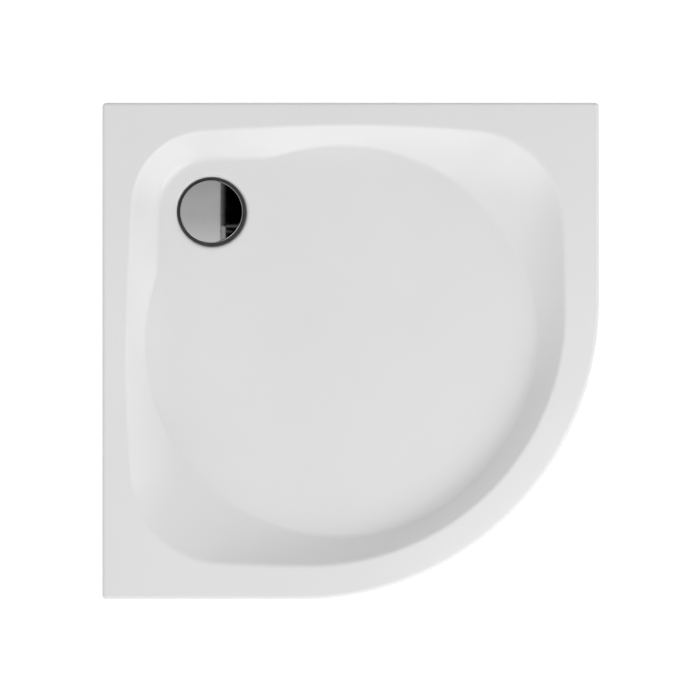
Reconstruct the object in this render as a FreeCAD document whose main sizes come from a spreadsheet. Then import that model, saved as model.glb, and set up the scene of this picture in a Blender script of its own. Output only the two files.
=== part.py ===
import FreeCAD, Part
import Sketcher
import math
import os
from FreeCAD import Vector, Placement, Rotation

# Quadrant shower tray: a vacuum-formed acrylic top on a laminate backing, a stiffening board, a welded
# tube frame on five levelling feet, and a waste trap under the drain corner.
# Frame: millimetres, +Z up, origin on the floor under the middle of the 900 x 900 square.
# -X and +Y are the two sides that stand against the room's walls; the drain is in that corner.

doc = FreeCAD.newDocument("quadrant_shower_tray")

# ----------------------------------------------------------------------------------------------
# Driving dimensions
# ----------------------------------------------------------------------------------------------
SIZES = [
    # the acrylic top
    ("tray_side", 900.0), ("front_radius", 540.0), ("front_centre", 90.0), ("corner_radius", 8.0),
    ("deck_z", 150.0), ("skirt_height", 40.0), ("edge_round", 7.0),
    ("acrylic_wall", 3.5), ("laminate_wall", 2.5), ("laminate_flat_z", 90.3), ("laminate_lip", 2.0),
    # the bowl: floor circle, drain lobe and rim contour
    ("bowl_c", 18.5), ("floor_radius", 360.0), ("floor_z", 100.0), ("floor_fall", 0.008),
    ("drain_c", 256.0), ("lobe_radius", 98.5), ("lobe_blend", 3.0),
    ("rim_corner_radius", 137.0), ("rim_top", 405.5), ("rim_apex", 10.0), ("rim_bow_back", 3900.0),
    ("rim_bow_mid", 2500.0), ("rim_turn_radius", 164.0), ("rim_side", 388.3), ("rim_bow_side", 3000.0),
    ("rim_front_c", 77.5), ("rim_front_radius", 465.8), ("wall_bias", 0.72),
    ("fillet_floor", 7.0), ("fillet_front", 22.0), ("fillet_front_wall", 2.0), ("front_pull", 8.0), ("fillet_lobe", 9.0), ("rim_round", 6.0),
    # drain recess and hole
    ("seat_z", 93.0), ("seat_radius", 64.5), ("recess_radius", 73.0), ("recess_top_z", 98.0),
    ("waste_hole_radius", 45.0), ("boss_radius", 73.0), ("boss_z", 87.0),
    # stiffening board
    ("board_radius", 322.0), ("board_thick", 12.0), ("board_z", 78.3), ("board_notch", 84.0),
    # tube frame
    ("tube_side", 25.0), ("tube_wall", 1.5), ("tube_round", 2.5), ("frame_z", 65.8),
    ("left_x", -345.0), ("right_x", 215.0), ("back_y", 110.0), ("front_y", -150.0),
    ("left_start", -385.0), ("left_end", 385.0), ("right_start", -300.0), ("right_end", 385.0),
    ("outrigger_end", 395.0), ("stud_hole", 5.4), ("screw_hole", 2.2), ("access_hole", 6.0),
    ("cap_plate", 2.0), ("cap_plug", 21.8), ("cap_depth", 9.0),
    # board screws
    ("screw_radius", 2.0), ("screw_head", 4.2), ("screw_head_len", 2.6), ("screw_bite", 10.0),
    # levelling feet
    ("foot_left_y", 365.0), ("foot_back_y", 365.0), ("foot_front_y", -275.0), ("foot_side_x", 370.0),
    ("pad_radius", 28.0), ("pad_rim", 3.0), ("pad_shoulder", 24.0), ("pad_shoulder_z", 7.5), ("pad_hub", 11.5),
    ("pad_hub_z", 11.5), ("pad_top", 16.0), ("pad_socket", 5.08), ("pad_floor", 4.0),
    ("stud_radius", 5.0), ("stud_start", 4.3), ("stud_end", 98.0), ("stud_tip", 1.0),
    ("collar_z", 16.3), ("collar_len", 6.0), ("hex_radius", 9.8), ("nut_len", 8.0), ("nut_bore", 5.06),
    # waste: flange, seals and trap pot
    ("flange_radius", 56.0), ("flange_step", 44.5), ("flange_web", 43.0), ("flange_bore", 33.0), ("flange_thick", 2.0),
    ("seal_inner", 46.5), ("seal_outer", 63.8), ("seal_thick", 2.0), ("clamp_circle", 39.0), ("clamp_hole", 2.1), ("clamp_radius", 2.0),
    ("clamp_head", 3.5), ("clamp_head_len", 2.2), ("clamp_end_z", 80.0),
    ("pot_radius", 50.0), ("pot_wall", 2.5), ("pot_z", 10.0), ("pot_floor", 2.5), ("pot_flange", 58.0),
    ("pot_flange_z", 81.0), ("pot_flange_thick", 4.0), ("neck_radius", 43.5), ("neck_bore", 35.5), ("neck_top", 92.8),
    ("pot_roof_z", 78.0),
    # ball outlet
    ("outlet_z", 38.0), ("stub_radius", 27.5), ("stub_bore", 24.3), ("stub_start", 42.0), ("stub_end", 77.0),
    ("ball_radius", 24.0), ("ball_y", 74.0), ("ball_cut", 14.0), ("spigot_radius", 20.0), ("spigot_bore", 17.8),
    ("spigot_end", 150.0), ("ring_thick", 1.5), ("ring_inner", 24.0), ("ring_outer", 27.4),
    ("union_radius", 32.0), ("union_start", 60.0), ("union_end", 82.5), ("union_bore", 27.55), ("union_ball", 24.3),
    ("union_rib", 2.2),
    # lift-out insert
    ("dip_bore", 18.0), ("dip_radius", 19.5), ("dip_end_z", 48.0), ("collar_radius", 35.0), ("insert_z", 95.8),
    ("insert_top", 98.0), ("gasket_inner", 33.3), ("gasket_z", 95.05),
    ("cup_radius", 32.0), ("cup_wall", 1.5), ("cup_z", 42.0), ("cup_top", 76.0), ("cup_rib", 2.0), ("cup_rib_top", 72.0),
    ("strainer_bar", 2.4),
    # cover
    ("cover_radius", 57.5), ("cover_thick", 1.2), ("cover_dome", 1300.0), ("cover_top", 102.4), ("cover_lip_z", 98.4),
    ("cover_round", 1.6), ("plug_radius", 17.6), ("plug_wall", 2.0), ("plug_z", 86.0), ("spoke_z", 98.2),
    ("spoke_len", 50.0), ("spoke_width", 3.0), ("hub_radius", 20.0), ("carrier_gap", 0.05),
]

sheet = doc.addObject("Spreadsheet::Sheet", "Sizes")
VAL = {}
for row, (name, number) in enumerate(SIZES, start=1):
    sheet.set("A%d" % row, name)
    sheet.set("B%d" % row, repr(number))
    sheet.setAlias("B%d" % row, name)
    VAL[name] = number
doc.recompute()
for name in VAL:
    VAL[name] = float(sheet.get(name))


class Q:
    """A size: its number now, and the expression over the sheet that gives it."""

    def __init__(self, v, e):
        self.v = float(v)
        self.e = e

    def __add__(self, o):
        o = q(o)
        return Q(self.v + o.v, "(%s + %s)" % (self.e, o.e))

    def __radd__(self, o):
        return q(o) + self

    def __sub__(self, o):
        o = q(o)
        return Q(self.v - o.v, "(%s - %s)" % (self.e, o.e))

    def __rsub__(self, o):
        return q(o) - self

    def __mul__(self, o):
        o = q(o)
        return Q(self.v * o.v, "(%s * %s)" % (self.e, o.e))

    def __rmul__(self, o):
        return q(o) * self

    def __truediv__(self, o):
        o = q(o)
        return Q(self.v / o.v, "(%s / %s)" % (self.e, o.e))

    def __neg__(self):
        return Q(-self.v, "(0 - %s)" % self.e)


def q(o):
    return o if isinstance(o, Q) else Q(o, repr(float(o)))


class Names:
    def __getattr__(self, name):
        return Q(VAL[name], "Sizes." + name)


S = Names()
NODES = {}
count = [0]


def fresh(stem):
    count[0] += 1
    return "%s_%d" % (stem, count[0])


def node(obj, name):
    obj.Label = name
    NODES[name] = obj
    return obj


def place(obj, x=0, y=0, z=0, rot=None):
    """Puts an object at a point given by sizes; its rotation is plain."""
    x, y, z = q(x), q(y), q(z)
    obj.Placement = Placement(Vector(x.v, y.v, z.v), rot or Rotation())
    for axis, value in (("x", x), ("y", y), ("z", z)):
        if "Sizes" in value.e:
            obj.setExpression("Placement.Base." + axis, value.e)
    return obj


def bind(obj, **sizes):
    for prop, value in sizes.items():
        value = q(value)
        setattr(obj, prop, value.v)
        if "Sizes" in value.e:
            obj.setExpression(prop, value.e)
    return obj


ALONG_Y = Rotation(Vector(1, 0, 0), -90)
ALONG_X = Rotation(Vector(0, 0, 1), -90).multiply(ALONG_Y)


def cylinder(r, length, x=0, y=0, z=0, rot=None):
    o = doc.addObject("Part::Cylinder", fresh("cyl"))
    bind(o, Radius=r, Height=length)
    return place(o, x, y, z, rot)


def box(lx, ly, lz, x=0, y=0, z=0, rot=None):
    o = doc.addObject("Part::Box", fresh("box"))
    bind(o, Length=lx, Width=ly, Height=lz)
    return place(o, x, y, z, rot)


def sphere(r, x=0, y=0, z=0):
    o = doc.addObject("Part::Sphere", fresh("sph"))
    bind(o, Radius=r)
    return place(o, x, y, z)


def prism(r, length, x=0, y=0, z=0, turn=0.0):
    o = doc.addObject("Part::Prism", fresh("hex"))
    o.Polygon = 6
    bind(o, Circumradius=r, Height=length)
    return place(o, x, y, z, Rotation(Vector(0, 0, 1), turn))


def cut(a, b):
    o = doc.addObject("Part::Cut", fresh("cut"))
    o.Base, o.Tool = a, b
    return o


def fuse(*items):
    o = doc.addObject("Part::MultiFuse", fresh("fuse"))
    o.Shapes = list(items)
    return o


def common(*items):
    o = doc.addObject("Part::MultiCommon", fresh("com"))
    o.Shapes = list(items)
    return o


def group(*items):
    o = doc.addObject("Part::Compound", fresh("group"))
    o.Links = list(items)
    return o


# ----------------------------------------------------------------------------------------------
# Sketch helpers
# ----------------------------------------------------------------------------------------------
def plane(body, role):
    return [f for f in body.Origin.OriginFeatures if f.Role == role][0]


def sketch(body, role):
    sk = body.newObject("Sketcher::SketchObject", fresh("sketch"))
    sk.AttachmentSupport = [(plane(body, role), "")]
    sk.MapMode = "FlatFace"
    return sk


def pin_coord(sk, geo, pos, axis, value):
    """Fixes one coordinate of a point from the sketch's origin, bound to the sheet."""
    kind = "DistanceX" if axis == "x" else "DistanceY"
    if abs(value.v) < 1e-9:
        sk.addConstraint(Sketcher.Constraint("PointOnObject", geo, pos, -2 if axis == "x" else -1))
        return
    if value.v > 0:
        i = sk.addConstraint(Sketcher.Constraint(kind, -1, 1, geo, pos, value.v))
        e = value.e
    else:
        i = sk.addConstraint(Sketcher.Constraint(kind, geo, pos, -1, 1, -value.v))
        e = (-value).e
    if "Sizes" in e:
        sk.setExpression("Constraints[%d]" % i, e)


def polygon(sk, points):
    points = [(q(a), q(b)) for a, b in points]
    n = len(points)
    ids = []
    for i in range(n):
        a, b = points[i], points[(i + 1) % n]
        ids.append(sk.addGeometry(Part.LineSegment(Vector(a[0].v, a[1].v, 0), Vector(b[0].v, b[1].v, 0)), False))
    for i in range(n):
        sk.addConstraint(Sketcher.Constraint("Coincident", ids[i], 2, ids[(i + 1) % n], 1))
    for i in range(n):
        pin_coord(sk, ids[i], 1, "x", points[i][0])
        pin_coord(sk, ids[i], 1, "y", points[i][1])


def circle(sk, x, y, r):
    x, y, r = q(x), q(y), q(r)
    g = sk.addGeometry(Part.Circle(Vector(x.v, y.v, 0), Vector(0, 0, 1), r.v), False)
    i = sk.addConstraint(Sketcher.Constraint("Radius", g, r.v))
    if "Sizes" in r.e:
        sk.setExpression("Constraints[%d]" % i, r.e)
    pin_coord(sk, g, 3, "x", x)
    pin_coord(sk, g, 3, "y", y)


def new_body(stem):
    return doc.addObject("PartDesign::Body", fresh(stem))


def pad(body, sk, length):
    p = body.newObject("PartDesign::Pad", fresh("pad"))
    p.Profile = sk
    bind(p, Length=length)
    return p


def pocket(body, sk, length=None, reverse=False, both=False):
    p = body.newObject("PartDesign::Pocket", fresh("pocket"))
    p.Profile = sk
    if length is None:
        p.Type = "ThroughAll"
    else:
        bind(p, Length=length)
    if both:
        p.Midplane = True
    p.Reversed = reverse
    return p


def turned(stem, points, x=0, y=0, z=0, rot=None):
    """A turned or moulded round piece: a section in radius and height, revolved about its own Z."""
    body = new_body(stem)
    sk = sketch(body, "XZ_Plane")
    polygon(sk, points)
    r = body.newObject("PartDesign::Revolution", fresh("revolve"))
    r.Profile = sk
    r.ReferenceAxis = (sk, ["V_Axis"])
    r.Angle = 360.0
    return place(body, x, y, z, rot)


# ----------------------------------------------------------------------------------------------
# Contours of the bowl, in plan, about the middle of the floor circle
# ----------------------------------------------------------------------------------------------
V = VAL
CX, CY = -V["bowl_c"], V["bowl_c"]
DX, DY = -V["drain_c"], V["drain_c"]


def ray_circle(dx, dy, c, r):
    """Distance from the bowl's middle, along a direction, to the far side of a circle."""
    fx, fy = CX - c[0], CY - c[1]
    b = fx * dx + fy * dy
    return -b + math.sqrt(b * b - (fx * fx + fy * fy - r * r))


def inner_tangent(c1, r1, c2, r2, r, guess):
    """Centre of a circle of radius r that touches two larger circles from inside."""
    a, b = guess
    for _ in range(60):
        d1 = math.hypot(a - c1[0], b - c1[1])
        d2 = math.hypot(a - c2[0], b - c2[1])
        f1, f2 = d1 - (r1 - r), d2 - (r2 - r)
        j11, j12 = (a - c1[0]) / d1, (b - c1[1]) / d1
        j21, j22 = (a - c2[0]) / d2, (b - c2[1]) / d2
        det = j11 * j22 - j12 * j21
        a -= (f1 * j22 - f2 * j12) / det
        b -= (f2 * j11 - f1 * j21) / det
    return a, b


def on_circle(c, r, towards):
    d = math.hypot(towards[0] - c[0], towards[1] - c[1])
    return (c[0] + (towards[0] - c[0]) / d * r, c[1] + (towards[1] - c[1]) / d * r)


BACK = ((V["rim_apex"], V["rim_top"] - V["rim_bow_back"]), V["rim_bow_back"])
LEFT = ((V["rim_bow_back"] - V["rim_top"], -V["rim_apex"]), V["rim_bow_back"])
MID = ((V["rim_apex"], V["rim_top"] - V["rim_bow_mid"]), V["rim_bow_mid"])
SIDE = ((V["rim_side"] - V["rim_bow_side"], V["rim_front_c"]), V["rim_bow_side"])
FRONT = ((-V["rim_front_c"], V["rim_front_c"]), V["rim_front_radius"])
CORNER = (inner_tangent(BACK[0], BACK[1], LEFT[0], LEFT[1], V["rim_corner_radius"], (-250.0, 250.0)),
          V["rim_corner_radius"])
TURN = (inner_tangent(MID[0], MID[1], SIDE[0], SIDE[1], V["rim_turn_radius"], (215.0, 231.0)), V["rim_turn_radius"])


def bearing(p):
    return math.degrees(math.atan2(p[1] - CY, p[0] - CX))


RIM = [
    (bearing(on_circle(BACK[0], BACK[1], CORNER[0])), CORNER),
    (bearing((V["rim_apex"], V["rim_top"])), BACK),
    (bearing(on_circle(MID[0], MID[1], TURN[0])), MID),
    (bearing(on_circle(SIDE[0], SIDE[1], TURN[0])), TURN),
    (bearing((V["rim_side"], V["rim_front_c"])), SIDE),
    (-46.0, FRONT),
]


def rim_r(deg):
    """Rim contour: mirrored about the diagonal through the drain."""
    a = (deg + 45.0) % 360.0 - 45.0
    if a > 135.0:
        a = 270.0 - a
    for start, (c, r) in RIM:
        if a >= start:
            return ray_circle(math.cos(math.radians(a)), math.sin(math.radians(a)), c, r)


def floor_r(deg):
    """Floor contour: a circle with a lobe round the drain."""
    dx, dy = math.cos(math.radians(deg)), math.sin(math.radians(deg))
    base = V["floor_radius"]
    if not (dx < -0.2 and dy > 0.2):
        return base
    reach = []
    t = (DX - V["lobe_radius"] - CX) / dx
    if CY + t * dy <= DY:
        reach.append(t)
    t = (DY + V["lobe_radius"] - CY) / dy
    if CX + t * dx >= DX:
        reach.append(t)
    if not reach:
        reach.append(ray_circle(dx, dy, (DX, DY), V["lobe_radius"]))
    k = V["lobe_blend"]
    return base + k * math.log(1.0 + math.exp((min(reach) - base) / k))


def floor_height(x, y):
    """The floor is a plane that falls towards the drain."""
    along = ((CX - x) + (y - CY)) / math.sqrt(2.0)
    return V["floor_z"] - V["floor_fall"] * along


def bowl_profile(deg, off, floor_const, fillet, soft, rim_round, n_f, n_w, n_r):
    """One radial section of the bowl, offset by off towards its back: points (r, z) from floor to deck."""
    dx, dy = math.cos(math.radians(deg)), math.sin(math.radians(deg))
    # the foot of the wall is drawn in a little and eased along the middle of the front
    ease = math.exp(-(((deg + 42.0 + 180.0) % 360.0 - 180.0) / 25.0) ** 4)
    r0, r1 = floor_r(deg) - V["front_pull"] * ease, rim_r(deg)
    z0, z1 = floor_height(CX + r0 * dx, CY + r0 * dy), V["deck_z"]
    bias = V["wall_bias"]

    def wall(t):
        h = bias * t + (1.0 - bias) * t * t if 0.0 <= t <= 1.0 else (bias * t if t < 0 else 1.0 + (2.0 - bias) * (t - 1.0))
        s = bias + 2.0 * (1.0 - bias) * min(max(t, 0.0), 1.0)
        tr, tz = (r1 - r0), (z1 - z0) * s
        m = math.hypot(tr, tz)
        return (r0 + (r1 - r0) * t + off * tz / m, z0 + (z1 - z0) * h - off * tr / m)

    pts = [wall(-0.6 + 2.2 * i / 160.0) for i in range(161)]

    def crossing(level):
        for a, b in zip(pts, pts[1:]):
            if a[1] <= level(a[0]) and b[1] > level(b[0]):
                fa, fb = a[1] - level(a[0]), b[1] - level(b[0])
                t = -fa / (fb - fa)
                return (a[0] + t * (b[0] - a[0]), a[1] + t * (b[1] - a[1]))

    def ground(r):
        return floor_const if floor_const is not None else floor_height(CX + r * dx, CY + r * dy) - off

    low = crossing(ground)
    high = crossing(lambda r: z1 - off)
    line = [low] + [p for p in pts if p[1] > low[1] + 1e-6 and p[1] < high[1] - 1e-6] + [high]
    run = [0.0]
    for a, b in zip(line, line[1:]):
        run.append(run[-1] + math.hypot(b[0] - a[0], b[1] - a[1]))

    def at(d):
        for i in range(1, len(run)):
            if d <= run[i] or i == len(run) - 1:
                t = (d - run[i - 1]) / max(run[i] - run[i - 1], 1e-9)
                return (line[i - 1][0] + t * (line[i][0] - line[i - 1][0]), line[i - 1][1] + t * (line[i][1] - line[i - 1][1]))

    nook = math.exp(-(((deg - 135.0 + 180.0) % 360.0 - 180.0) / 13.0) ** 2) * soft
    f_in = fillet + V["fillet_front"] * ease * soft + V["fillet_lobe"] * nook
    f_up = fillet + V["fillet_front_wall"] * ease * soft + V["fillet_lobe"] * nook
    start = (low[0] - f_in, ground(low[0] - f_in))
    end = at(f_up)
    out = []
    for i in range(n_f + 1):
        t = i / float(n_f)
        out.append(tuple((1 - t) ** 2 * start[k] + 2 * t * (1 - t) * low[k] + t * t * end[k] for k in (0, 1)))
    d0, d1 = f_up, run[-1] - rim_round
    for i in range(1, n_w):
        out.append(at(d0 + (d1 - d0) * i / float(n_w)))
    # the round-over runs out a little above the deck, so that it crosses it at a clear angle
    a, b = at(d1), (high[0] + rim_round * 1.3, high[1] + 1.2)
    for i in range(n_r + 1):
        t = i / float(n_r)
        out.append(tuple((1 - t) ** 2 * a[k] + 2 * t * (1 - t) * high[k] + t * t * b[k] for k in (0, 1)))
    return out


AROUND = 120


def bowl_solid(off, floor_const, fillet, soft, rim_round):
    """The bowl as a solid, lofted through closed contours from the floor up to the deck."""
    rows = []
    for i in range(AROUND):
        deg = 360.0 * i / AROUND - 90.0
        c, s = math.cos(math.radians(deg)), math.sin(math.radians(deg))
        rows.append([Vector(CX + r * c, CY + r * s, z)
                     for r, z in bowl_profile(deg, off, floor_const, fillet, soft, rim_round, 5, 4, 3)])
    wires = []
    for k in range(len(rows[0])):
        curve = Part.BSplineCurve()
        curve.interpolate(Points=[row[k] for row in rows], PeriodicFlag=True)
        wires.append(Part.Wire([curve.toShape()]))
    return Part.makeLoft(wires, True, False)


def outline(inset):
    """The tray's plan: a square with one corner cut by the front arc; other corners slightly rounded."""
    e = V["tray_side"] / 2.0 - inset
    r = max(V["corner_radius"] - inset, 0.8)
    fc, fr = V["front_centre"], V["front_radius"] - inset
    k = r * (1.0 - math.sqrt(0.5))
    g = fr * math.sqrt(0.5)

    def p(x, y):
        return Vector(x, y, 0)

    edges = [
        Part.makeLine(p(e, fc), p(e, e - r)),
        Part.Arc(p(e, e - r), p(e - k, e - k), p(e - r, e)).toShape(),
        Part.makeLine(p(e - r, e), p(-e + r, e)),
        Part.Arc(p(-e + r, e), p(-e + k, e - k), p(-e, e - r)).toShape(),
        Part.makeLine(p(-e, e - r), p(-e, -e + r)),
        Part.Arc(p(-e, -e + r), p(-e + k, -e + k), p(-e + r, -e)).toShape(),
        Part.makeLine(p(-e + r, -e), p(-fc, -e)),
        Part.Arc(p(-fc, -e), p(-fc + g, fc - g), p(e, fc)).toShape(),
    ]
    return Part.Wire(edges)


def block(inset, z0, z1, round_top=0.0):
    f = Part.Face(outline(inset))
    f.translate(Vector(0, 0, z0))
    b = f.extrude(Vector(0, 0, z1 - z0))
    if round_top > 0:
        top = [ed for ed in b.Edges if all(abs(v.Z - z1) < 1e-6 for v in ed.Vertexes)]
        b = b.makeFillet(round_top, top)
    return b


def turned_shape(points):
    """A revolved cutter at the drain, from radius and height."""
    w = Part.makePolygon([Vector(r, 0, z) for r, z in points] + [Vector(points[0][0], 0, points[0][1])])
    s = Part.Face(w).revolve(Vector(0, 0, 0), Vector(0, 0, 1), 360)
    s.translate(Vector(DX, DY, 0))
    return s


ta, tl = V["acrylic_wall"], V["laminate_wall"]
deck, seat = V["deck_z"], V["seat_z"]
base = 80.0
hollow0 = bowl_solid(0.0, None, V["fillet_floor"], 1.0, V["rim_round"])
hollow1 = bowl_solid(ta, None, V["fillet_floor"] + 2.0, 1.0, V["rim_round"] - 2.0)
hollow2 = bowl_solid(ta + tl, V["laminate_flat_z"], 3.0, 0.0, 2.5)
# the recess's edge is rounded: a few short slopes from its upright wall to the floor
edge_w, edge_h = V["recess_radius"] - V["seat_radius"], V["recess_top_z"] - seat
dish0 = turned_shape([(0, seat)] + [(V["seat_radius"] + edge_w * (1.0 - math.cos(math.radians(a))), seat + edge_h * math.sin(math.radians(a)))
                                    for a in (0.0, 22.0, 44.0, 64.0, 80.0)]
                     + [(V["recess_radius"] + 3.0, V["recess_top_z"] + 0.6), (V["recess_radius"] + 3.0, V["recess_top_z"] + 2.0),
                        (0, V["recess_top_z"] + 2.0)])
dish1 = turned_shape([(0, seat - ta), (V["seat_radius"] + 1.5, seat - ta), (V["recess_radius"] + 2.0, V["recess_top_z"] - 4.0),
                      (V["recess_radius"] + 2.0, V["recess_top_z"] - 2.0), (0, V["recess_top_z"] - 2.0)])
dish2 = turned_shape([(0, V["boss_z"]), (V["boss_radius"], V["boss_z"]), (V["boss_radius"], seat), (0, seat)])
hole = turned_shape([(0, 80.0), (V["waste_hole_radius"], 80.0), (V["waste_hole_radius"], 105.0), (0, 105.0)])

top0 = block(0.0, base, deck, V["edge_round"]).cut(hollow0.fuse(dish0))
top1 = block(ta, base, deck - ta, V["edge_round"] - ta).cut(hollow1.fuse(dish1))
top2 = block(ta + tl, base, deck - ta - tl, 1.5).cut(hollow2.fuse(dish2))
skirt_z = deck - V["skirt_height"]
trim0 = block(-2.0, base - 1.0, skirt_z).cut(block(14.0, base - 2.0, skirt_z + 1.0))
trim1 = block(-2.0, base - 1.0, skirt_z + V["laminate_lip"]).cut(block(14.0, base - 2.0, skirt_z + 9.0))

shell = doc.addObject("Part::Feature", "acrylic_shell")
shell.Shape = top0.cut(top1).cut(trim0).cut(hole)
shell.Placement = Placement()
node(shell, "acrylic_shell")

backing = doc.addObject("Part::Feature", "laminate_backing")
backing.Shape = top1.cut(top2).cut(trim1).cut(hole)
backing.Placement = Placement()
node(backing, "laminate_backing")

# ----------------------------------------------------------------------------------------------
# Stiffening board under the floor
# ----------------------------------------------------------------------------------------------
BACK_SCREWS = (-270.0, -110.0, 50.0, 160.0)
FRONT_SCREWS = (-240.0, -100.0, 40.0, 160.0)

board = new_body("board")
sk = sketch(board, "XY_Plane")
circle(sk, -S.bowl_c, S.bowl_c, S.board_radius)
pad(board, sk, S.board_thick)
sk = sketch(board, "XY_Plane")
circle(sk, -S.drain_c, S.drain_c, S.board_notch)
pocket(board, sk, None, reverse=True)
sk = sketch(board, "XY_Plane")
for x in BACK_SCREWS:
    circle(sk, x, S.back_y, S.screw_radius)
for x in FRONT_SCREWS:
    circle(sk, x, S.front_y, S.screw_radius)
pocket(board, sk, S.screw_bite, reverse=True)
place(board, 0, 0, S.board_z)
node(board, "base_board")


# ----------------------------------------------------------------------------------------------
# Square-tube frame
# ----------------------------------------------------------------------------------------------
def rail(name, length, x, y, rot, studs=(), screws=()):
    """A square tube along its own Z, with stud holes through both walls and screw holes with access below."""
    b = new_body("rail")
    sk = sketch(b, "XY_Plane")
    h, i = S.tube_side / 2, S.tube_side / 2 - S.tube_wall
    polygon(sk, [(-h, -h), (h, -h), (h, h), (-h, h)])
    polygon(sk, [(-i, -i), (i, -i), (i, i), (-i, i)])
    tube = pad(b, sk, length)
    doc.recompute()
    corners = ["Edge%d" % (n + 1) for n, ed in enumerate(tube.Shape.Edges)
               if ed.BoundBox.ZLength > length.v - 1 and abs(abs(ed.BoundBox.XMin) - h.v) < 0.01 and abs(abs(ed.BoundBox.YMin) - h.v) < 0.01]
    soft_edge = b.newObject("PartDesign::Fillet", fresh("fillet"))
    soft_edge.Base = (tube, corners)
    bind(soft_edge, Radius=S.tube_round)
    holes = [(0, at, S.stud_hole) for at in studs] + [(0, at, S.screw_hole) for at in screws]
    if holes:
        sk = sketch(b, "XZ_Plane")
        for hx, hz, r in holes:
            circle(sk, hx, hz, r)
        pocket(b, sk, None, both=True)
    if screws:
        sk = sketch(b, "XZ_Plane")
        for at in screws:
            circle(sk, 0, at, S.access_hole)
        pocket(b, sk, S.tube_side, reverse=True)
    place(b, x, y, S.frame_z, rot)
    return node(b, name)


half = S.tube_side / 2
rail("side_rail_left", S.left_end - S.left_start, S.left_x, S.left_start, ALONG_Y,
     studs=(-S.foot_left_y - S.left_start, S.foot_left_y - S.left_start))
rail("side_rail_right", S.right_end - S.right_start, S.right_x, S.right_start, ALONG_Y,
     studs=(S.foot_front_y - S.right_start, S.foot_back_y - S.right_start))
cross_start = S.left_x + half
cross_len = (S.right_x - half) - cross_start
rail("cross_rail_back", cross_len, cross_start, S.back_y, ALONG_X, screws=[x - cross_start for x in BACK_SCREWS])
rail("cross_rail_front", cross_len, cross_start, S.front_y, ALONG_X, screws=[x - cross_start for x in FRONT_SCREWS])
rail("outrigger_rail", S.outrigger_end - (S.right_x + half), S.right_x + half, S.back_y, ALONG_X,
     studs=(S.foot_side_x - (S.right_x + half),))


def end_cap(x, y, rot):
    """A plug in a tube's end, with a square plate outside it; its own +Z points out of the tube."""
    c = S.cap_plug
    plate = box(S.tube_side, S.tube_side, S.cap_plate)
    plate.setExpression("Placement.Base.x", (-half).e)
    plate.setExpression("Placement.Base.y", (-half).e)
    plug = box(c, c, S.cap_depth)
    plug.setExpression("Placement.Base.x", (-c / 2).e)
    plug.setExpression("Placement.Base.y", (-c / 2).e)
    plug.setExpression("Placement.Base.z", (-S.cap_depth).e)
    return place(fuse(plate, plug), x, y, S.frame_z, rot)


BACK_Y = Rotation(Vector(1, 0, 0), 90)
node(group(
    end_cap(S.left_x, S.left_end, ALONG_Y), end_cap(S.left_x, S.left_start, BACK_Y),
    end_cap(S.right_x, S.right_end, ALONG_Y), end_cap(S.right_x, S.right_start, BACK_Y),
    end_cap(S.outrigger_end, S.back_y, ALONG_X)), "rail_end_caps")


def board_screw(x, y):
    under = S.board_z - S.tube_wall
    head = cylinder(S.screw_head, S.screw_head_len, x, y, under - S.screw_head_len)
    shank = cylinder(S.screw_radius, S.tube_wall + S.screw_bite, x, y, under)
    return fuse(head, shank)


node(group(*([board_screw(x, S.back_y) for x in BACK_SCREWS] + [board_screw(x, S.front_y) for x in FRONT_SCREWS])),
     "board_screws")

# ----------------------------------------------------------------------------------------------
# Levelling feet
# ----------------------------------------------------------------------------------------------
FEET = {
    "back_left": (S.left_x, S.foot_left_y), "front_left": (S.left_x, -S.foot_left_y),
    "back_right": (S.right_x, S.foot_back_y), "front_right": (S.right_x, S.foot_front_y),
    "side": (S.foot_side_x, S.back_y),
}
locks, welds = [], []
for foot, (fx, fy) in FEET.items():
    node(turned("pad", [
        (0, 0), (S.pad_radius, 0), (S.pad_radius, S.pad_rim), (S.pad_shoulder, S.pad_shoulder_z), (S.pad_hub, S.pad_hub_z),
        (S.pad_hub, S.pad_top), (S.pad_socket, S.pad_top), (S.pad_socket, S.pad_floor), (0, S.pad_floor)], fx, fy), "foot_pad_" + foot)
    stud = turned("stud", [
        (0, S.stud_start), (S.stud_radius - S.stud_tip, S.stud_start), (S.stud_radius, S.stud_start + S.stud_tip),
        (S.stud_radius, S.stud_end - S.stud_tip), (S.stud_radius - S.stud_tip, S.stud_end), (0, S.stud_end)], fx, fy)
    node(fuse(stud, prism(S.hex_radius, S.collar_len, fx, fy, S.collar_z)), "foot_stud_" + foot)
    under = S.frame_z - half
    locks.append(cut(prism(S.hex_radius, S.nut_len, fx, fy, under - S.nut_len, 12.0),
                     cylinder(S.nut_bore, S.nut_len + 2, fx, fy, under - S.nut_len - 1)))
    inside = under + S.tube_wall
    welds.append(cut(prism(S.hex_radius, S.nut_len, fx, fy, inside, 30.0),
                     cylinder(S.nut_bore, S.nut_len + 2, fx, fy, inside - 1)))
node(group(*locks), "lock_nuts")
node(group(*welds), "weld_nuts")

# ----------------------------------------------------------------------------------------------
# Waste: everything is round about the drain
# ----------------------------------------------------------------------------------------------
AT = (-S.drain_c, S.drain_c)
CLAMPS = (30.0, 150.0, 270.0)


def clamp_points():
    return [(S.clamp_circle * math.cos(math.radians(a)), S.clamp_circle * math.sin(math.radians(a))) for a in CLAMPS]


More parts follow.
